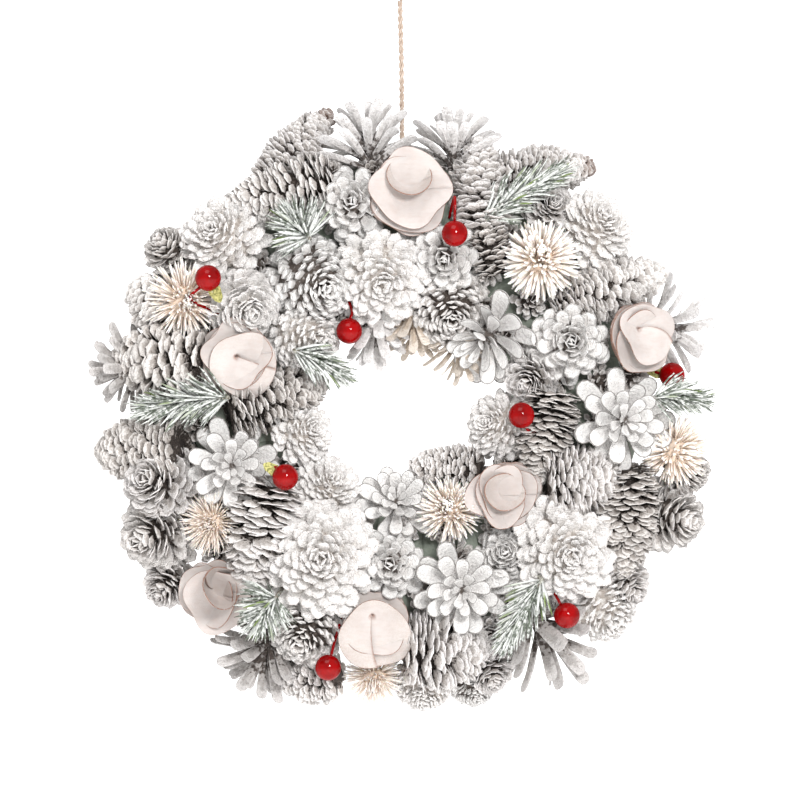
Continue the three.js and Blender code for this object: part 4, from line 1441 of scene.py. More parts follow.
# The cones of each node, which is named by their kind and by their hour on the wreath
CONES: dict[str, tuple[Cone, ...]] = {
    "spruce_cones_11": (
        Lying((-75, 128), (-43, 166), 11.5, brown_tip=0.8),
        Lying((-39, 129), (-99, 111), 14, look=Look.FROSTED, count=270),
    ),
    "frosted_cones_10": (
        Rosette((-101, 94), 21, Look.GLITTER, form=Form.LOBED, grit=0.4, lean=(-0.15, 0.15)),
        Rosette((-89, 57), 18, Look.GLITTER, rise=3, form=Form.RAGGED, grit=0.3, lean=(0.3, -0.35)),
        Rosette((-131, 86), 13.5, form=Form.RAGGED, lean=(-0.3, 0.5)),
        Lying((-132, 50), (-150, 66), 13, look=Look.FROSTED, count=140),
    ),
    "frosted_cones_inner_10": (
        Rosette((-50, 70), 20, Look.WHITE, count=175, lean=(0.35, -0.15), stretch=1.2),
        Rosette((-55, 39), 17, Look.GLITTER, grit=0.3, count=175, lean=(0.4, -0.1), stretch=1.2),
    ),
    "glitter_cones_12": (
        Rosette((-27, 113), 17.5, Look.WHITE, form=Form.ROSE),
        Rosette((-11, 72), 23, Look.GLITTER, rise=2, form=Form.LOBED, grit=0.5),
        Rosette((-33, 51), 9, Look.DARK, rise=-5, form=Form.RAGGED),
        Strap((-14, 58), (-17, 24), 12),
        Strap((8, 56), (10, 30), 11, look=Look.TAN),
        Strap((-17, 134), (-19, 170), 15),
    ),
    "frosted_cones_inner_1": (
        Rosette((26, 84), 18, Look.WHITE, form=Form.ROSE),
        Rosette((29, 54), 18, lean=(0.2, -0.1)),
        Strap((31, 42), (41, 12), 10, look=Look.TAN),
    ),
    "spruce_cones_1": (
        Lying((47, 98), (46, 148), 14),
        Lying((56, 74), (48, 104), 11, look=Look.DARK, count=180),
        Lying((57, 130), (109, 136), 12, brown_tip=0.8),
        Strap((30, 134), (33, 164), 23),
    ),
    "spruce_cones_2": (
        Lying((100, 59), (149, 75), 13.5, look=Look.FROSTED),
        Rosette((111, 100), 19, Look.GLITTER, form=Form.LOBED, grit=0.4, lean=(0.15, 0.25)),
        Rosette((86, 112), 12, Look.SPRUCE, form=Form.RAGGED),
        Lying((88, 50), (125, 66), 11, rise=-4, count=180),
    ),
    "frosted_cones_3": (
        Rosette((97, 35), 18, Look.WHITE, rise=2, form=Form.ROSE, count=60),
        Rosette((76, 15), 14, Look.SPRUCE, form=Form.RAGGED, lean=(-0.2, -0.3)),
    ),
    "spruce_cone_9": (
        Lying((-112, 23), (-157, 25), 16, look=Look.DARK, count=130, scale=THICK_SCALE, size=1.2),
        Strap((-147, 20), (-172, 16), 20, look=Look.STRAP_SHADED),
    ),
    "frosted_cones_8_30": (
        Lying((-126, -26), (-170, -28), 15.5, look=Look.DARK),
        Rosette((-137, -45), 19, Look.SPRUCE, rise=2, form=Form.RAGGED, lean=(-0.1, 0.2)),
    ),
    "dark_cones_9": (
        Lying((-98, -4), (-47, 10), 15, look=Look.DARK),
        Rosette((-57, -17), 15.5, Look.GLITTER, rise=2, form=Form.LOBED, grit=0.4, lean=(0.25, 0.1)),
    ),
    "spruce_cone_8": (Lying((-74, -48), (-86, -100), 16.5, rise=2, count=210, size=1.15, open=1.5),),
    "glitter_cones_7": (
        Rosette((-45, -89), 27, Look.GLITTER, rise=4, form=Form.LOBED, grit=0.35, count=150),
        Rosette((-42, -50), 16.5, Look.GLITTER, form=Form.LOBED, grit=0.3, lean=(0.1, 0.25)),
        Rosette((-6, -93), 16.5, Look.WHITE, form=Form.ROSE, count=46),
    ),
    "frosted_cones_8": (
        Rosette((-138, -73), 19.5, form=Form.RAGGED, lean=(-0.2, -0.1)),
        Rosette((-133, -103), 13, Look.SPRUCE, form=Form.RAGGED, lean=(-0.2, -0.4)),
    ),
    "dark_cones_4": (
        Rosette((57, -13), 16, Look.GLITTER, form=Form.LOBED, grit=0.3, lean=(-0.25, 0.1)),
        Lying((87, 6), (78, -42), 14, look=Look.DARK),
        Lying((84, -45), (123, -43), 15.5, rise=2),
    ),
    "frosted_cones_4_30": (
        Lying((131, -38), (129, -96), 14.5, look=Look.DARK, rise=2, count=270),
        Rosette((154, -65), 17.5, form=Form.RAGGED, lean=(0.4, 0.0)),
        Rosette((128, -103), 13.5, Look.SPRUCE, form=Form.RAGGED, lean=(0.3, -0.3)),
        Rosette((163, -40), 13, form=Form.RAGGED, lean=(0.5, 0.2)),
    ),
    "glitter_cones_5": (
        Rosette((94, -84), 25, Look.GLITTER, rise=3, form=Form.LOBED, grit=0.38, count=140),
        Rosette((61, -88), 15, Look.WHITE, form=Form.RAGGED, lean=(-0.1, 0.2)),
        Rosette((117, -118), 17, Look.GLITTER, grit=0.3, lean=(0.3, -0.4)),
        Rosette((87, -112), 8, Look.SPRUCE, rise=-5, form=Form.RAGGED),
    ),
    "frosted_cones_6_30": (
        Rosette((-54, -130), 17.5, lean=(-0.1, -0.2)),
        Lying((-36, -156), (-64, -163), 11.5, count=150),
    ),
    "frosted_cones_5_30": (
        Lying((3, -141), (46, -142), 17, count=190, size=1.15),
        Rosette((50, -152), 13, Look.SPRUCE, form=Form.RAGGED, lean=(0.2, -0.4)),
        Rosette((42, -163), 11, Look.WHITE, lean=(0.1, -0.4)),
        Rosette((14, -162), 14, Look.GLITTER, grit=0.3, lean=(0.0, -0.4)),
        Rosette((51, -134), 9.5, Look.SPRUCE, rise=-4, form=Form.RAGGED),
    ),
    "spruce_cone_inner_5": (Lying((46, -39), (9, -37), 11, count=180),),
    "strap_cone_2": (Strap((140, 46), (178, 40), 20, rise=-17, count=24),),
    "strap_cone_5": (Strap((67, -115), (104, -153), 18, look=Look.STRAP_SHADED, rise=-5),),
    "strap_cone_7": (Strap((-72, -133), (-88, -160), 24, look=Look.STRAP_SHADED),),
    "petalled_cone_1": (Petalled((53, 42), 30, rise=6, lean=(-0.35, -0.4)),),
    "petalled_cone_3": (Petalled((126, -10), 29, rise=8),),
    "petalled_cone_8": (Petalled((-96, -36), 27, rise=8),),
    "petalled_cone_6": (Petalled((-2, -60), 24, rise=3),),
    "petalled_cone_5": (Petalled((35, -106), 29, rise=8),),
}

def slot_of(node: str) -> str:
    """The material slot of a node of cones, which the node's name begins with."""
    return "_".join(node.split("_")[:2]).removesuffix("s")


@dataclass
class Undergrowth:
    """Small cones wedged between the others, low on the ring, so that little of it shows."""

    shop: Workshop
    radius: float = 11.5
    spacing: float = 26.0

    CIRCLES: ClassVar[tuple[float, ...]] = (74, 94, 114, 134)  # radii of the circles that they stand on
    LOOKS: ClassVar[tuple[Look, ...]] = (Look.DARK, Look.SPRUCE, Look.FROSTED)

    def build(self) -> None:
        """Grows a few small cones and sets copies of them out over the ring."""
        name, kinds = "undergrowth", []
        form, r = Form.RAGGED.value, self.radius
        sizes = {"core": times(r, form.core), "size": times(r, form.size), "lift": form.lift}
        for look in self.LOOKS:
            mesh = self.shop.grow(
                name, UNDERGROWTH_SCALE, look, count=30, length=r * 1.1, unevenness=0.2, **sizes
            )
            kinds.append([mesh, self.shop.spindle(name, look, r * 1.05, sizes["core"], 1.3)])
        draw = random.Random(5)
        meshes = []
        for distance in self.CIRCLES:
            steps = round(2 * math.pi * distance / self.spacing)
            for k in range(steps):
                turn = 2 * math.pi * (k + 0.5) / steps + draw.uniform(-0.03, 0.03)
                at = (math.cos(turn) * distance, math.sin(turn) * distance)
                along = facing_at(at, 0.8, (draw.uniform(-0.5, 0.5), draw.uniform(-0.5, 0.5)))
                place = standing_on(place_at(at, -r * 0.3), along, draw.uniform(0, 6.3))
                meshes += placed([mesh.copy() for mesh in draw.choice(kinds)], place)
        dress(joined("undergrowth_scales", meshes), "dark_cone")


@dataclass
class Cones:
    """All the cones, one object for each node of the frame."""

    shop: Workshop

    def build(self) -> None:
        """Grows each node's cones, joins them and puts them in the place of the node."""
        for node, members in CONES.items():
            meshes = [mesh for member in members for mesh in member.meshes(self.shop, node)]
            dress(joined(f"{node}_scales", meshes), slot_of(node), node)


# Roses of shaved wood


@dataclass(frozen=True)
class Shaving:
    """One thin sheet of a rose: a wavy disc, cut from its edge to its pole and lapped over itself."""

    radius: float
    at: Place = (0.0, 0.0)
    lift: float = 0.0
    cup: float = 0.2  # how far its rim rises over its pole, as a share of its radius
    tilt: Place = (0.0, 0.0)  # turns about X and Y
    pole: Place = (0.0, 0.0)  # where the cut ends, as a share of the radius
    cut: float = 0.0  # the direction of the cut
    lap: float = 0.0  # how far its ends pass each other
    step: float = 0.0  # how far one end stands over the other, in millimetres
    waves: int = 3
    waviness: float = 0.06
    phase: float = 0.0
    roll: float = 0.0  # how far the rim rolls back, as a share of its radius
    stretch: float = 1.0
    dust: float = 0.0
    power: float = 1.35  # 1 for a cone, 2 for a round bowl
    swirl: float = 0.0  # how far the cut curves on its way out
    closing: bool = False  # whether the cut is widest at the pole

    AROUND: ClassVar[int] = 60
    ACROSS: ClassVar[int] = 10
    THICKNESS: ClassVar[float] = 0.55

    def surface(self) -> tuple[np.ndarray, np.ndarray]:
        """The sheet's middle surface.

        Returns:
            Its points, in rows from the pole to the rim, and each row's share of the way out.
        """
        turn = np.linspace(0, 2 * math.pi + self.lap, self.AROUND + 1)
        out = np.concatenate([np.linspace(0.02, 0.988, self.ACROSS), [1.0]])
        angle = self.cut + turn[None] + self.swirl * (1 - out)[:, None]
        wave = 1 + self.waviness * np.cos(self.waves * (angle - self.phase))
        wave += 0.4 * self.waviness * np.cos((self.waves + 2) * (angle + 1.3 * self.phase) + 1)
        rim = np.dstack([np.cos(angle) * wave * self.stretch, np.sin(angle) * wave])
        pole = np.array(self.pole)
        flat = pole + out[:, None, None] * (rim - pole)
        away = np.linalg.norm(flat - pole, axis=2)
        height = self.cup * away**self.power - self.roll * np.clip(away - 0.6, 0, None) ** 2 * 4
        height += 0.035 * np.cos(3 * angle + self.phase) * away**2
        gap = 1.2 - out if self.closing else np.minimum(1, 0.25 + out)
        level = height * self.radius + self.step * (turn / (2 * math.pi) - 0.5)[None] * gap[:, None]
        return np.dstack([flat * self.radius, level[:, :, None]]), out

    def mesh(self, name: str) -> Mesh:
        """The sheet with its thickness.

        Args:
            name: the mesh's name.

        Returns:
            The mesh, with `edge` marking its cut edges and `dust` where grit fell on it.
        """
        top, out = self.surface()
        rows, columns = top.shape[:2]
        normal = np.cross(np.gradient(top, axis=0), np.gradient(top, axis=1))
        normal /= np.linalg.norm(normal, axis=2)[:, :, None] + 1e-9
        half = normal * self.THICKNESS / 2
        points = np.concatenate([(top + half).reshape(-1, 3), (top - half).reshape(-1, 3)])
        edge = np.zeros((rows, columns))
        edge[-1] = 1.0
        if self.step:
            edge[:, 0] = edge[:, -1] = 0.8
            edge[0] = 1.0
        dust = np.repeat((np.clip(out - 0.25, 0, 1) * self.dust)[:, None], columns, axis=1)
        marks = {"edge": np.tile(edge.ravel(), 2), "dust": np.tile(dust.ravel(), 2)}
        mesh = mesh_from(name, points, sheet_faces(rows, columns), marks)
        turned = Matrix.Rotation(self.tilt[0], 4, "X") @ Matrix.Rotation(self.tilt[1], 4, "Y")
        mesh.transform(Matrix.Translation((*self.at, self.lift)) @ turned)
        return mesh


@dataclass(frozen=True)
class Rose:
    """A rose of shavings, stacked from its back to its front."""

    at: Place
    rise: float
    sheets: tuple[Shaving, ...]


ROSES: dict[str, Rose] = {
    "rose_12": Rose(
        (6, 121),
        12,
        (
            Shaving(22, (-1, -2.5), -3, 0.24, (0.12, 0.05), waves=4, waviness=0.05, phase=0.3),
            Shaving(22.3, (0.5, -2), 0, 0.26, (0.1, -0.05), waves=4, waviness=0.06, phase=0.5),
            Shaving(22.3, (0, 0.8), 2, 0.36, waves=4, waviness=0.07, phase=1.6, roll=0.1),
            Shaving(
                13.4, (-1.5, 4.2), 1.5, 0.72, (-0.42, 0.08),
                waves=2, waviness=0.03, dust=0.9, stretch=0.93, power=2.0,
            ),
        ),
    ),
    "rose_2": Rose(
        (135, 38),
        12,
        (
            Shaving(18.5, (-4.5, -0.5), -7, 0.3, (0, 0.62), waves=3, phase=0.2),
            Shaving(19, (-3.2, -1), -4, 0.3, (0, 0.56), waves=3, phase=0.6),
            Shaving(19.5, (-1.8, 0), -1, 0.3, (0, 0.5), waves=3, phase=1.0),
            Shaving(18, (-0.5, -3.5), 1.5, 0.36, (0.15, 0.42), waves=3, phase=1.5),
            Shaving(
                17.5, (3, 1.5), 5, 0.45, (-0.05, 0.35), (-0.2, 0.15), -1.0, 0.7, 3.6,
                waves=3, waviness=0.12, phase=0.5, roll=0.2, swirl=0.9,
            ),
        ),
    ),
    "rose_9": Rose(
        (-91, 24),
        13,
        (
            Shaving(18.3, (-5, 1.5), -6, 0.3, (0, -0.42), waves=3, phase=0.4),
            Shaving(18.3, (-4, -1), -3.5, 0.3, (0, -0.36), waves=3, phase=1.0),
            Shaving(18.8, (-2, 2), -1, 0.3, (0, -0.3), waves=3, phase=1.7),
            Shaving(19.3, (-0.5, 3.5), 1, 0.36, (-0.1, -0.25), waves=4, phase=1.6, waviness=0.08),
            Shaving(
                19, (2, -2), 4.5, 0.3, (0.12, -0.05), (-0.25, 0.25), -0.4, 0.3, 2.6,
                waves=3, waviness=0.05, phase=0.9, roll=0.2, dust=0.5, closing=True,
            ),
        ),
    ),
    "rose_4": Rose(
        (58, -52),
        13,
        (
            Shaving(18, (4, 0.5), -7, 0.3, (0, 0.5), waves=4, phase=0.5),
            Shaving(18.4, (3.4, -0.5), -4.5, 0.32, (0, 0.44), waves=4, phase=1.1),
            Shaving(18, (2.6, 0.5), -2, 0.36, (0, 0.38), waves=3, phase=2.6, waviness=0.09),
            Shaving(17.5, (1.0, -0.5), 0, 0.4, (0.05, 0.25), waves=3, phase=0.3, waviness=0.1),
            Shaving(17, (-2, -1), 1.5, 0.36, (0.1, 0.0), waves=3, phase=1.0, waviness=0.13),
            Shaving(11.2, (-0.5, -0.3), 1.5, 0.85, (-0.1, 0.3), waves=2, waviness=0.05, dust=0.8, power=2.0),
        ),
    ),
    "rose_7": Rose(
        (-106, -110),
        9,
        (
            Shaving(18, (-3, -0.5), -5, 0.3, (0, -0.4), waves=4, phase=0.2),
            Shaving(18.5, (-1, 1), -2.5, 0.36, (-0.15, -0.25), waves=3, phase=0.9, waviness=0.1),
            Shaving(
                19, (2, -1.5), 0.5, 0.5, (0.1, 0.05),
                waves=3, waviness=0.09, phase=0.4, roll=0.25, power=1.7,
            ),
            Shaving(
                13, (-0.5, 2), 0, 1.5, (-0.3, 0.4), (0.25, 0.1), 2.2, 0.5, 3,
                waves=2, waviness=0.08, phase=0.6, dust=0.4, power=2.2, swirl=0.6,
            ),
        ),
    ),
    "rose_6": Rose(
        (-14, -130),
        12,
        (
            Shaving(18, (-0.5, 4), -6.5, 0.26, (-0.45, 0), waves=4, phase=0.4),
            Shaving(18.3, (0.5, 3.8), -4, 0.26, (-0.4, 0), waves=4, phase=0.9),
            Shaving(19, (0, 3), -1.5, 0.28, (-0.34, 0), waves=4, phase=0.6, waviness=0.05),
            Shaving(
                19.5, (0, -1.5), 3, 0.3, (0.1, 0.02), (-0.1, 0.6), -1.85, 0.35, 3,
                waves=3, waviness=0.05, phase=-0.52, roll=0.1, stretch=1.07, dust=0.9, swirl=-0.35,
            ),
        ),
    ),
}


@dataclass
class Roses:
    """The six roses of shaved wood."""

    shop: Workshop

    # The height and the radius of its rings, as shares of the rose's radius
    CALYX: ClassVar[tuple[Place, ...]] = (
        (-1.15, 0.04), (-0.8, 0.22), (-0.4, 0.34), (-0.15, 0.3), (-0.06, 0.04)
    )
    SIDES: ClassVar[int] = 20

    def calyx(self, name: str, radius: float) -> Mesh:
        """The stub of wound shavings that holds a rose's sheets and sits among the cones.

        Args:
            name: the mesh's name.
            radius: the rose's radius.

        Returns:
            The mesh, behind the rose's own origin.
        """
        points = []
        for height, out in self.CALYX:
            for k in range(self.SIDES):
                angle = 2 * math.pi * k / self.SIDES
                wound = out * radius * (1 + 0.06 * math.cos(3 * angle + height * 5))
                points.append((math.cos(angle) * wound, math.sin(angle) * wound, height * radius))
        marks = {"edge": [0.15] * len(points), "dust": [0.2] * len(points)}
        return mesh_from(name, points, ring_faces(len(self.CALYX), self.SIDES), marks)

    def build(self) -> None:
        """Shapes each rose and puts it in the place of its node."""
        for node, rose in ROSES.items():
            size = max(sheet.radius for sheet in rose.sheets)
            meshes = [self.calyx(node, size)] + [sheet.mesh(node) for sheet in rose.sheets]
            place = standing_on(place_at(rose.at, size * 0.2 + rose.rise), facing_at(rose.at, 0.3))
            meshes = placed([self.shop.coated(mesh, ShavedWood()) for mesh in meshes], place)
            dress(joined(f"{node}_shavings", meshes), "shaved_wood", node)


# Thistle balls


def ball_mesh(name: str, radius: float, around: int, rings: int, dimple: float = 0.0) -> Mesh:
    """A closed ball, dimpled at its top where a stem goes in.

    Args:
        name: the mesh's name.
        radius: its radius.
        around: how many sides it has.
        rings: how many steps it has from its bottom to its top.
        dimple: how deep its top is pressed in.

    Returns:
        The mesh, about its own origin.
    """
    points = [(0.0, 0.0, -radius)]
    for j in range(1, rings):
        angle = math.pi * (j / rings - 0.5)
        fall = dimple * math.exp(-((math.pi / 2 - angle) ** 2) / 0.06)
        out = math.cos(angle) * radius
        for k in range(around):
            turn = 2 * math.pi * k / around
            points.append((out * math.cos(turn), out * math.sin(turn), math.sin(angle) * radius - fall))
    points.append((0.0, 0.0, radius - dimple))
    last = 1 + (rings - 2) * around
    faces: list[Face] = []
    for k in range(around):
        after = (k + 1) % around
        faces += [(0, 1 + after, 1 + k), (last + k, last + after, len(points) - 1)]
        for j in range(rings - 2):
            a, b = 1 + j * around + k, 1 + j * around + after
            faces.append((a, b, b + around, a + around))
    return mesh_from(name, points, faces)


@dataclass(frozen=True)
class Thistle:
    """A dried thistle: stiff spines on all sides of a small ball."""

    at: Place
    radius: float
    rise: float
    finish: ThistleSpines
    count: int = 230
    spine: SpineShape = SpineShape(0.072, 0.12, (0.5, 0.8, 1.0, 0.45), 0.7)
    lean: Place = (0.0, 0.0)


# Bleached nearly white
CREAM = ThistleSpines("thistle_bleached_cream", "#e8d5c4", "#f8ede3", "#fdf9f4")
# Bleached less, so warmer at the roots, where the tan is also painted shade
DEEP_CREAM = ThistleSpines("thistle_bleached_tan", "#e3d2c2", "#f5e7da", "#fcf5ee")


def slim_spine(
    radius: float, bend: float, root: float = 0.6, shoulder: float = 0.8, point: float = 0.3
) -> SpineShape:
    """A flat spine that is thickest a third of the way out."""
    return SpineShape(radius, bend, (root, 1.0, shoulder, point), 0.6)


THISTLES: dict[str, Thistle] = {
    "thistle_10": Thistle((-124, 59), 24, 5, CREAM, 330, slim_spine(0.056, 0.2, root=0.7), (0.35, -0.2)),
    "thistle_2": Thistle((80, 81), 23.5, 7, CREAM, 350, lean=(-0.05, 0.15)),
    "thistle_8": Thistle((-107, -68), 19.5, 5, DEEP_CREAM, 380, slim_spine(0.046, 0.16)),
    "thistle_5": Thistle((29, -62), 20, 4, CREAM, 330, slim_spine(0.068, 0.25, 0.7, 0.9, 0.4)),
    "thistle_6": Thistle((-15, -156), 18, 1, CREAM, 280, slim_spine(0.05, 0.2)),
    "thistle_3": Thistle((155, -28), 20.5, 5, DEEP_CREAM, 260, lean=(0.35, 0.05)),
}


@dataclass
class Thistles:
    """The six thistle balls."""

    shop: Workshop

    def build(self) -> None:
        """Grows each ball and puts it in the place of its node."""
        for node, thistle in THISTLES.items():
            r = thistle.radius
            mesh = self.shop.grow(
                node,
                thistle.spine,
                thistle.finish,
                count=thistle.count,
                length=r * 0.62,
                core=times(r, (0.22, 0.44, 0.02)),
                lift=(-0.85, 0.45, 1.5),
                size=times(r, (0.68, 0.68, 0.62)),
                unevenness=0.2,
                crumble=0.8,
            )
            core = self.shop.coated(ball_mesh(node, r * 0.4, 20, 12), thistle.finish)
            core.transform(Matrix.Translation((0, 0, r * 0.3)))
            along = facing_at(thistle.at, 0.5, thistle.lean)
            meshes = placed([mesh, core], standing_on(place_at(thistle.at, thistle.rise + r * 0.1), along))
            dress(joined(f"{node}_spines", meshes), "thistle", node)


# Berries


@dataclass(frozen=True)
class Leaf:
    """A scrap of yellow-green paper leaf under a berry, by the direction it lies in and its length."""

    direction: float
    length: float


@dataclass
class Berries:
    """The eight red berries, each on a wire that bends back among the cones."""

    shop: Workshop
    radius: float = 7.4
    wire: float = 0.85
    dimple: float = 0.8

    # Each berry's place, where its wire bends, and its leaf
    PLACES: ClassVar[dict[str, tuple[Place, Place, Leaf | None]]] = {
        "berry_1": ((31, 96), (31, 117), None),
        "berry_10": ((-109, 71), (-119, 59), Leaf(-1.1, 8)),
        "berry_11": ((-29, 41), (-28, 55), None),
        "berry_2": ((157, 16), (143, 18), Leaf(2.9, 9)),
        "berry_8": ((-65, -42), (-72, -36), Leaf(2.6, 7)),
        "berry_4": ((69, -7), (74, -16), None),
        "berry_5": ((95, -121), (87, -107), None),
        "berry_7": ((-41, -151), (-38, -139), None),
    }
    LEAF_SHAPE: ClassVar[ScaleShape] = ScaleShape(0.1, 0.5, 0.4, 0.04, camber=0.12, curl=0.15)

    def build(self) -> None:
        """Makes each berry with its wire and leaf, and puts it in the place of its node."""
        for node, (at, bend, leaf) in self.PLACES.items():
            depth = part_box(node)[0][1] / MM + self.radius
            centre, corner = Vector((at[0], depth, at[1])), Vector((bend[0], depth + 5, bend[1]))
            away = (corner - centre).normalized()
            ball = ball_mesh(node, self.radius, 40, 26, self.dimple)
            ball.transform(Matrix.Translation(centre) @ away.to_track_quat("Z", "Y").to_matrix().to_4x4())
            ring = Vector((bend[0], 0, bend[1])).normalized() * RING_RADIUS
            root = corner.lerp(Vector((ring.x, seat_depth(RING_RADIUS) + 6, ring.z)), 0.6)
            path = smooth_path([centre + away * (self.radius - 1), corner, root], 16)
            meshes = [self.shop.coated(mesh, Lacquer()) for mesh in (ball, tube(node, path, self.wire))]
            if leaf:
                meshes.append(self.shop.coated(self.leaf_mesh(node, centre, leaf), PAPER_LEAF))
            dress(joined(f"{node}_ball", placed(meshes, TO_FRAME)), "berry_red", node)

    def leaf_mesh(self, name: str, centre: Vector, leaf: Leaf) -> Mesh:
        """A small pointed leaf behind the berry, folded along its middle.

        Args:
            name: the mesh's name.
            centre: the berry's centre.
            leaf: the leaf.

        Returns:
            The mesh, in millimetres from the ring's centre.
        """
        mesh = self.LEAF_SHAPE.mesh(name)
        turned = Matrix.Rotation(-leaf.direction, 4, "Y") @ Matrix.Rotation(math.pi / 2, 4, "X")
        behind = Matrix.Translation(centre + Vector((0, self.radius * 0.5, 0)))
        mesh.transform(behind @ turned @ Matrix.Scale(self.radius + leaf.length, 4))
        return mesh


# Needle sprays


@dataclass(frozen=True)
class Spray:
    """A spray of needles: the points its stem passes, and how its needles stand."""

    stem: tuple[Place, ...]
    needle: float
    count: int
    opening: Triple = (0.85, 0.65, 0.35)
    depth: float = 7.0  # how far its stem lies behind the front of its node


@dataclass
class Sprays:
    """The seven frosted needle sprays."""

    shop: Workshop
    stem_radius: float = 1.3

    SPRAYS: ClassVar[dict[str, Spray]] = {
        "needle_spray_11": Spray(((-52, 94), (-56, 98), (-61, 103)), 21, 130, (1.55, 1.2, 0.3), 10),
        "needle_spray_1": Spray(((48, 104), (66, 119), (90, 131)), 20, 190),
        "needle_spray_3": Spray(((144, 3), (158, 4), (170, 2)), 17, 130),
        "needle_spray_9": Spray(((-98, 3), (-118, 2), (-142, -3)), 21, 170, (0.95, 0.8, 0.4)),
        "needle_spray_10": Spray(((-60, 30), (-46, 24), (-35, 17)), 18, 120),
        "needle_spray_7": Spray(((-70, -110), (-75, -115), (-80, -123)), 19, 140, (1.5, 1.1, 0.3), 10),
        "needle_spray_5": Spray(((80, -100), (73, -112), (61, -133)), 19, 180),
    }
    NEEDLE: ClassVar[SpineShape] = SpineShape(0.042, 0.08, (0.8, 1.0, 0.85, 0.3))

    def build(self) -> None:
        """Grows each spray and puts it in the place of its node."""
        for node, spray in self.SPRAYS.items():
            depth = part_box(node)[0][1] / MM + spray.depth
            path = smooth_path([(x, depth + 2 * i, z) for i, (x, z) in enumerate(spray.stem)], 40)
            length = float(run_along(path)[-1])
            mesh = self.shop.grow(
                node,
                self.NEEDLE,
                FrostedNeedles(),
                count=spray.count,
                length=length,
                core=(self.stem_radius * 0.6, self.stem_radius * 0.5, 0.3),
                lift=[math.pi / 2 - opening for opening in spray.opening],
                size=times(spray.needle, (1.0, 1.0, 0.7)),
                unevenness=0.2,
                crumble=1.5,
            )
            self.follow(mesh, path, length)
            stem = tube(node, path, np.linspace(self.stem_radius, 0.5, len(path)))
            root = smooth_path([path[0], path[0] + (0, 12, 0), self.ring_point(spray.stem[0])], 12)
            wood = [self.shop.coated(part, BARK) for part in (stem, tube(node, root, self.stem_radius))]
            dress(joined(f"{node}_needles", placed([mesh, *wood], TO_FRAME)), "needles", node)

    def ring_point(self, at: Place) -> tuple[float, float, float]:
        """Where a spray's foot goes into the ring."""
        away = Vector((at[0], 0, at[1])).normalized() * (RING_RADIUS * 0.5 + math.hypot(*at) * 0.5)
        return (away.x, seat_depth(RING_RADIUS) + 10, away.z)

    def follow(self, mesh: Mesh, path: np.ndarray, length: float) -> None:
        """Bends a mesh that stands on +Z so that its axis lies on the path, rather flat to the wreath.

        Args:
            mesh: the mesh.
            path: the points of the path.
            length: the path's length.
        """
        along, side, other = frames_along(path)
        points = read_points(mesh)
        share = np.clip(points[:, 2] / length, 0, 1) * (len(path) - 1)
        i = np.clip(share.astype(int), 0, len(path) - 2)
        t = (share - i)[:, None]
        centre = path[i] * (1 - t) + path[i + 1] * t
        beyond = (points[:, 2] - np.clip(points[:, 2], 0, length))[:, None]
        moved = centre + along[i] * beyond + side[i] * points[:, :1] * 0.7
        write_points(mesh, moved + other[i] * points[:, 1:2])


# The ring and the twine


@dataclass
class WrappedRing:
    """A half-round ring of straw, wound with overlapping turns of grey-green tape."""

    shop: Workshop
    turns: int = 52  # of the tape
    proud: float = 0.9  # how far each turn of tape stands over the next
    around: int = 364
    slot_half_width: float = 1.85  # of the slot that the twine is pulled into
    slot_depth: float = 3.3
    fine_step: float = 0.003  # between the cross-sections where the twine passes
    fine_reach: float = 0.055  # how far to each side they reach

    def columns(self) -> list[float]:
        """The angles of the ring's cross-sections, closer together where the twine passes.

        Returns:
            The angles, in order.
        """
        top, step = math.pi / 2, 2 * math.pi / self.around
        even = [i * step for i in range(self.around) if abs(i * step - top) > self.fine_reach]
        count = round(self.fine_reach / self.fine_step)
        return sorted(even + [top + k * self.fine_step for k in range(-count, count + 1)])

    def section(self) -> list[tuple[float, float, bool]]:
        """The points of its half-round section: across, forwards, and whether they are on its flat back."""
        front = [(math.cos(math.pi * k / 16), math.sin(math.pi * k / 16), False) for k in range(17)]
        return front + [(across, 0.0, True) for across in (-0.94, -0.5, 0.0, 0.5, 0.94)]

    def build(self) -> None:
        """Winds the ring and puts it in the place of its node."""
        points, laps, columns, section = [], [], self.columns(), self.section()
        for turn in columns:
            for u, v, back in section:
                slant = 0.5 - 0.05 * u if back else 0.45 * u
                lap = (turn / (2 * math.pi) * self.turns + slant) % 1.0
                grow = self.proud * (lap - 1) * (0.5 if back else 1.0)
                x = math.cos(turn) * (RING_RADIUS + u * RING_HALF_WIDTH)
                sunk = self.slot_depth if abs(x - TIE_X) < self.slot_half_width and turn < math.pi else 0.0
                out = RING_RADIUS + u * (RING_HALF_WIDTH - 0.4 + grow - sunk)
                depth = RING_BACK - 0.05 - v * (RING_THICKNESS - 0.5 + grow - sunk)
                if back:
                    depth += grow - sunk
                points.append((math.cos(turn) * out, depth, math.sin(turn) * out))
                laps.append(lap)
        n, faces = len(section), []
        for i in range(len(columns)):
            for k in range(n):
                a, b = i * n + k, i * n + (k + 1) % n
                faces.append((a, (a + n) % len(points), (b + n) % len(points), b))
        mesh = self.shop.coated(mesh_from("wrapped_ring", points, faces, {"lap": laps}), PaperTape())
        mesh.transform(TO_FRAME)
        dress(new_object("wrapped_ring", mesh), "wrapped_ring", "base_ring", pressed=False)


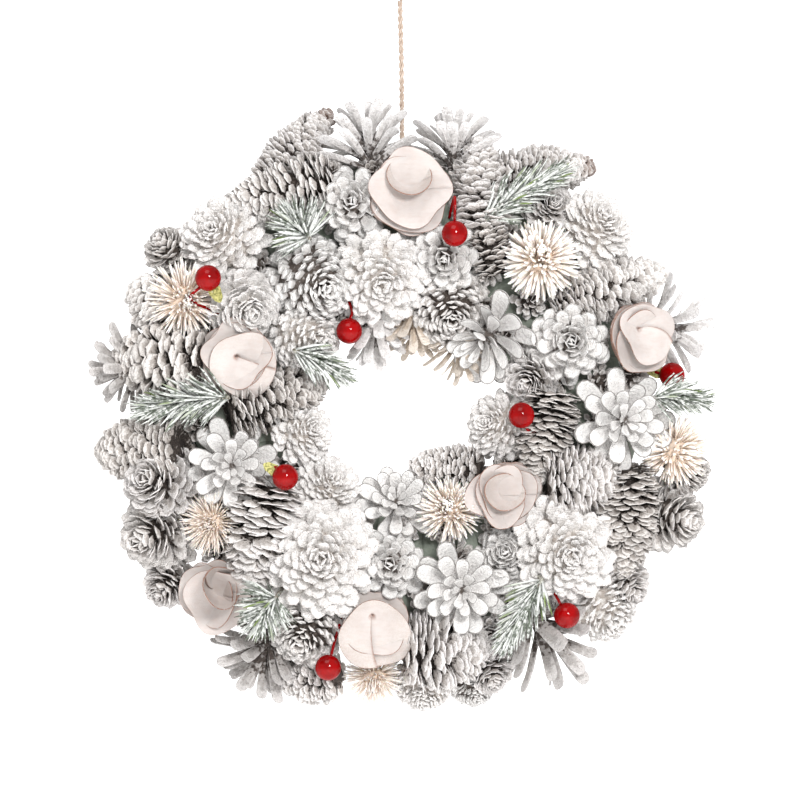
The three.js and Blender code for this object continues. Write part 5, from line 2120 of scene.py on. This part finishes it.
@dataclass
class Twine:
    """Two-ply jute twine: its turn round the ring, its taut length and the loop that it hangs by."""

    shop: Workshop
    radius: float = 1.55
    lay_length: float = 9.0  # one full twist of its plies
    knot_radius: float = 3.8
    loop_height: float = 22.0
    loop_half_width: float = 7.0

    # The loop's points, as shares of its half width and of its height
    LOOP: ClassVar[tuple[Place, ...]] = (
        (0.75, 0.35), (1, 0.7), (0.55, 0.94), (0, 1), (-0.55, 0.94), (-1, 0.7), (-0.75, 0.35)
    )
    TIE_ANGLE: ClassVar[float] = math.pi * 0.2  # from the ring's outer edge round to its knot

    def plies(self, path: np.ndarray) -> list[Mesh]:
        """Two plies twisted about a path, each closed at its ends.

        Args:
            path: the points that the twine passes, in millimetres from the ring's centre.

        Returns:
            The plies' meshes, in the frame.
        """
        _, side, other = frames_along(path)
        meshes = []
        for start in (0.0, math.pi):
            turn = (start + 2 * math.pi * run_along(path) / self.lay_length)[:, None]
            off = np.cos(turn) * side + np.sin(turn) * other
            ply = tube("ply", path + off * self.radius * 0.47, self.radius * 0.54)
            meshes.append(self.shop.coated(ply, JUTE))
        return placed(meshes, TO_FRAME)

    def knot_path(self, centre: Vector, steps: int = 60) -> np.ndarray:
        """A path that winds on itself as a small tight knot.

        Args:
            centre: the knot's centre.
            steps: how many steps the path has.

        Returns:
            The points of the path.
        """
        t = np.linspace(0, 2 * math.pi, steps + 1)
        across, up = np.sin(t) + 1.6 * np.sin(2 * t), np.cos(t) - 1.6 * np.cos(2 * t)
        reach = (self.knot_radius - self.radius * 0.7) / 2.6
        return np.stack([across, -np.sin(3 * t) * 0.9, up], axis=1) * reach + np.array(centre)

    def band_path(self) -> np.ndarray:
        """The twine's turn round the ring's section, sunk in its slot.

        Returns:
            The points of the path.
        """
        points = []
        for k in range(29):
            turn = math.pi * (1 - k / 28)
            out, depth = (RING_HALF_WIDTH - 1.6) * math.cos(turn), (RING_THICKNESS - 1.6) * math.sin(turn)
            points.append((TIE_X, RING_BACK - 1.6 - depth, RING_RADIUS + out))
        for inwards in (0.0, RING_HALF_WIDTH - 2.5):
            points.append((TIE_X, RING_BACK - 1.7, RING_RADIUS - inwards))
        return smooth_path(points, 220)

    def build(self) -> None:
        down, out = RING_THICKNESS * math.sin(self.TIE_ANGLE), RING_HALF_WIDTH * math.cos(self.TIE_ANGLE)
        tie_knot = Vector((TIE_X, RING_BACK - down, RING_RADIUS + out + self.knot_radius * 0.5))
        loop_knot = Vector((0, 0, WREATH_DROP - self.loop_height - self.knot_radius))
        clear = Vector((0, 0, self.knot_radius + 0.3))
        low, high = tie_knot + clear, loop_knot - clear
        path = smooth_path([low, low.lerp(high, 0.5) + Vector((0.4, 0, 0)), high], 140)
        rope = joined("hanging_twine_plies", self.plies(path))

        rise = WREATH_DROP - self.radius - loop_knot.z
        width = self.loop_half_width
        bow = [Vector((side * width, 0, loop_knot.z + rise * share)) for side, share in self.LOOP]
        bow = smooth_path([loop_knot, *bow, loop_knot + Vector((-0.4, 0, 0.4))], 110)
        loop = joined("hanging_loop_plies", self.plies(bow) + self.plies(self.knot_path(loop_knot)))
        tie = joined("twine_tie_plies", self.plies(self.band_path()) + self.plies(self.knot_path(tie_knot)))
        for piece, node in ((loop, "hanging_loop"), (tie, "twine_tie"), (rope, "hanging_twine")):
            dress(piece, "jute", node, pressed=False)


# The studio


@dataclass
class Studio:
    """A seamless white sweep, soft lights and a camera at the photograph's angle."""

    view_width: float = 457 * MM  # what the photograph spans at the wreath
    lens: float = 200.0
    middle: Triple = (0.0, -0.03, -0.2603)
    floor: float = -0.95
    near: float = -6.0  # where the floor begins
    back: float = 3.6  # where the wall stands
    top: float = 5.0
    reach: float = 5.0  # to each side
    bend: float = 0.8  # radius of the curve between floor and wall
    glow: float = 0.66  # of the world

    # Each light's name, place in metres, side and watts
    LIGHTS: ClassVar[tuple[tuple[str, Triple, float, float], ...]] = (
        ("key", (0.45, -1.9, 0.3), 0.42, 31),
        ("top", (-0.3, -1.0, 1.3), 1.0, 11),
    )

    def camera(self) -> None:
        """Makes the camera, level and square to the wreath's face."""
        data = bpy.data.cameras.new("camera")
        data.lens = self.lens
        data.sensor_width = 36.0
        camera = new_object("camera", data)
        camera.location = Vector(self.middle) + FRONT * (self.view_width * self.lens / data.sensor_width)
        camera.rotation_euler = (math.pi / 2, 0, 0)
        bpy.context.scene.camera = camera

    def sweep(self, shop: Workshop) -> None:
        """Makes the floor, which curves up into a wall far behind the wreath.

        Args:
            shop: the workshop.
        """
        start, profile = self.back - self.bend, [(self.near, self.floor)]
        for angle in np.linspace(0, math.pi / 2, 13):
            out, up = self.bend * math.sin(angle), self.bend * (1 - math.cos(angle))
            profile.append((start + out, self.floor + up))
        profile.append((self.back, self.top))
        points = [(x, y, z) for y, z in profile for x in (-self.reach, self.reach)]
        faces = [(2 * i, 2 * i + 1, 2 * i + 3, 2 * i + 2) for i in range(len(profile) - 1)]
        mesh = shop.coated(mesh_from("studio_sweep", points, faces), Backdrop())
        new_object("studio_sweep", mesh)

    def lights(self) -> None:
        """Makes the key light, the light from above and a white world."""
        for name, at, size, watts in self.LIGHTS:
            data = bpy.data.lights.new(name, "AREA")
            data.size = size
            data.energy = watts
            lamp = new_object(name, data)
            lamp.location = at
            lamp.rotation_euler = (Vector(self.middle) - Vector(at)).to_track_quat("-Z", "Y").to_euler()
        world = bpy.data.worlds.new("studio")
        world.use_nodes = True
        background = world.node_tree.nodes["Background"]
        background.inputs[0].default_value = linear("#ffffff")
        background.inputs[1].default_value = self.glow
        bpy.context.scene.world = world
        bpy.context.scene.view_settings.view_transform = "Standard"


def main() -> None:
    """Builds the wreath's looks in order and writes how large they are."""
    logging.basicConfig(level=logging.INFO, format="%(message)s")
    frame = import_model()
    log.info("%d nodes to dress", len(frame["nodes"]))
    shop = Workshop()
    studio = Studio()
    studio.camera()
    studio.sweep(shop)
    studio.lights()
    for sub_assembly in (Twine, WrappedRing, Undergrowth, Cones, Roses, Thistles, Berries, Sprays):
        sub_assembly(shop).build()


if __name__ == "__main__":
    main()
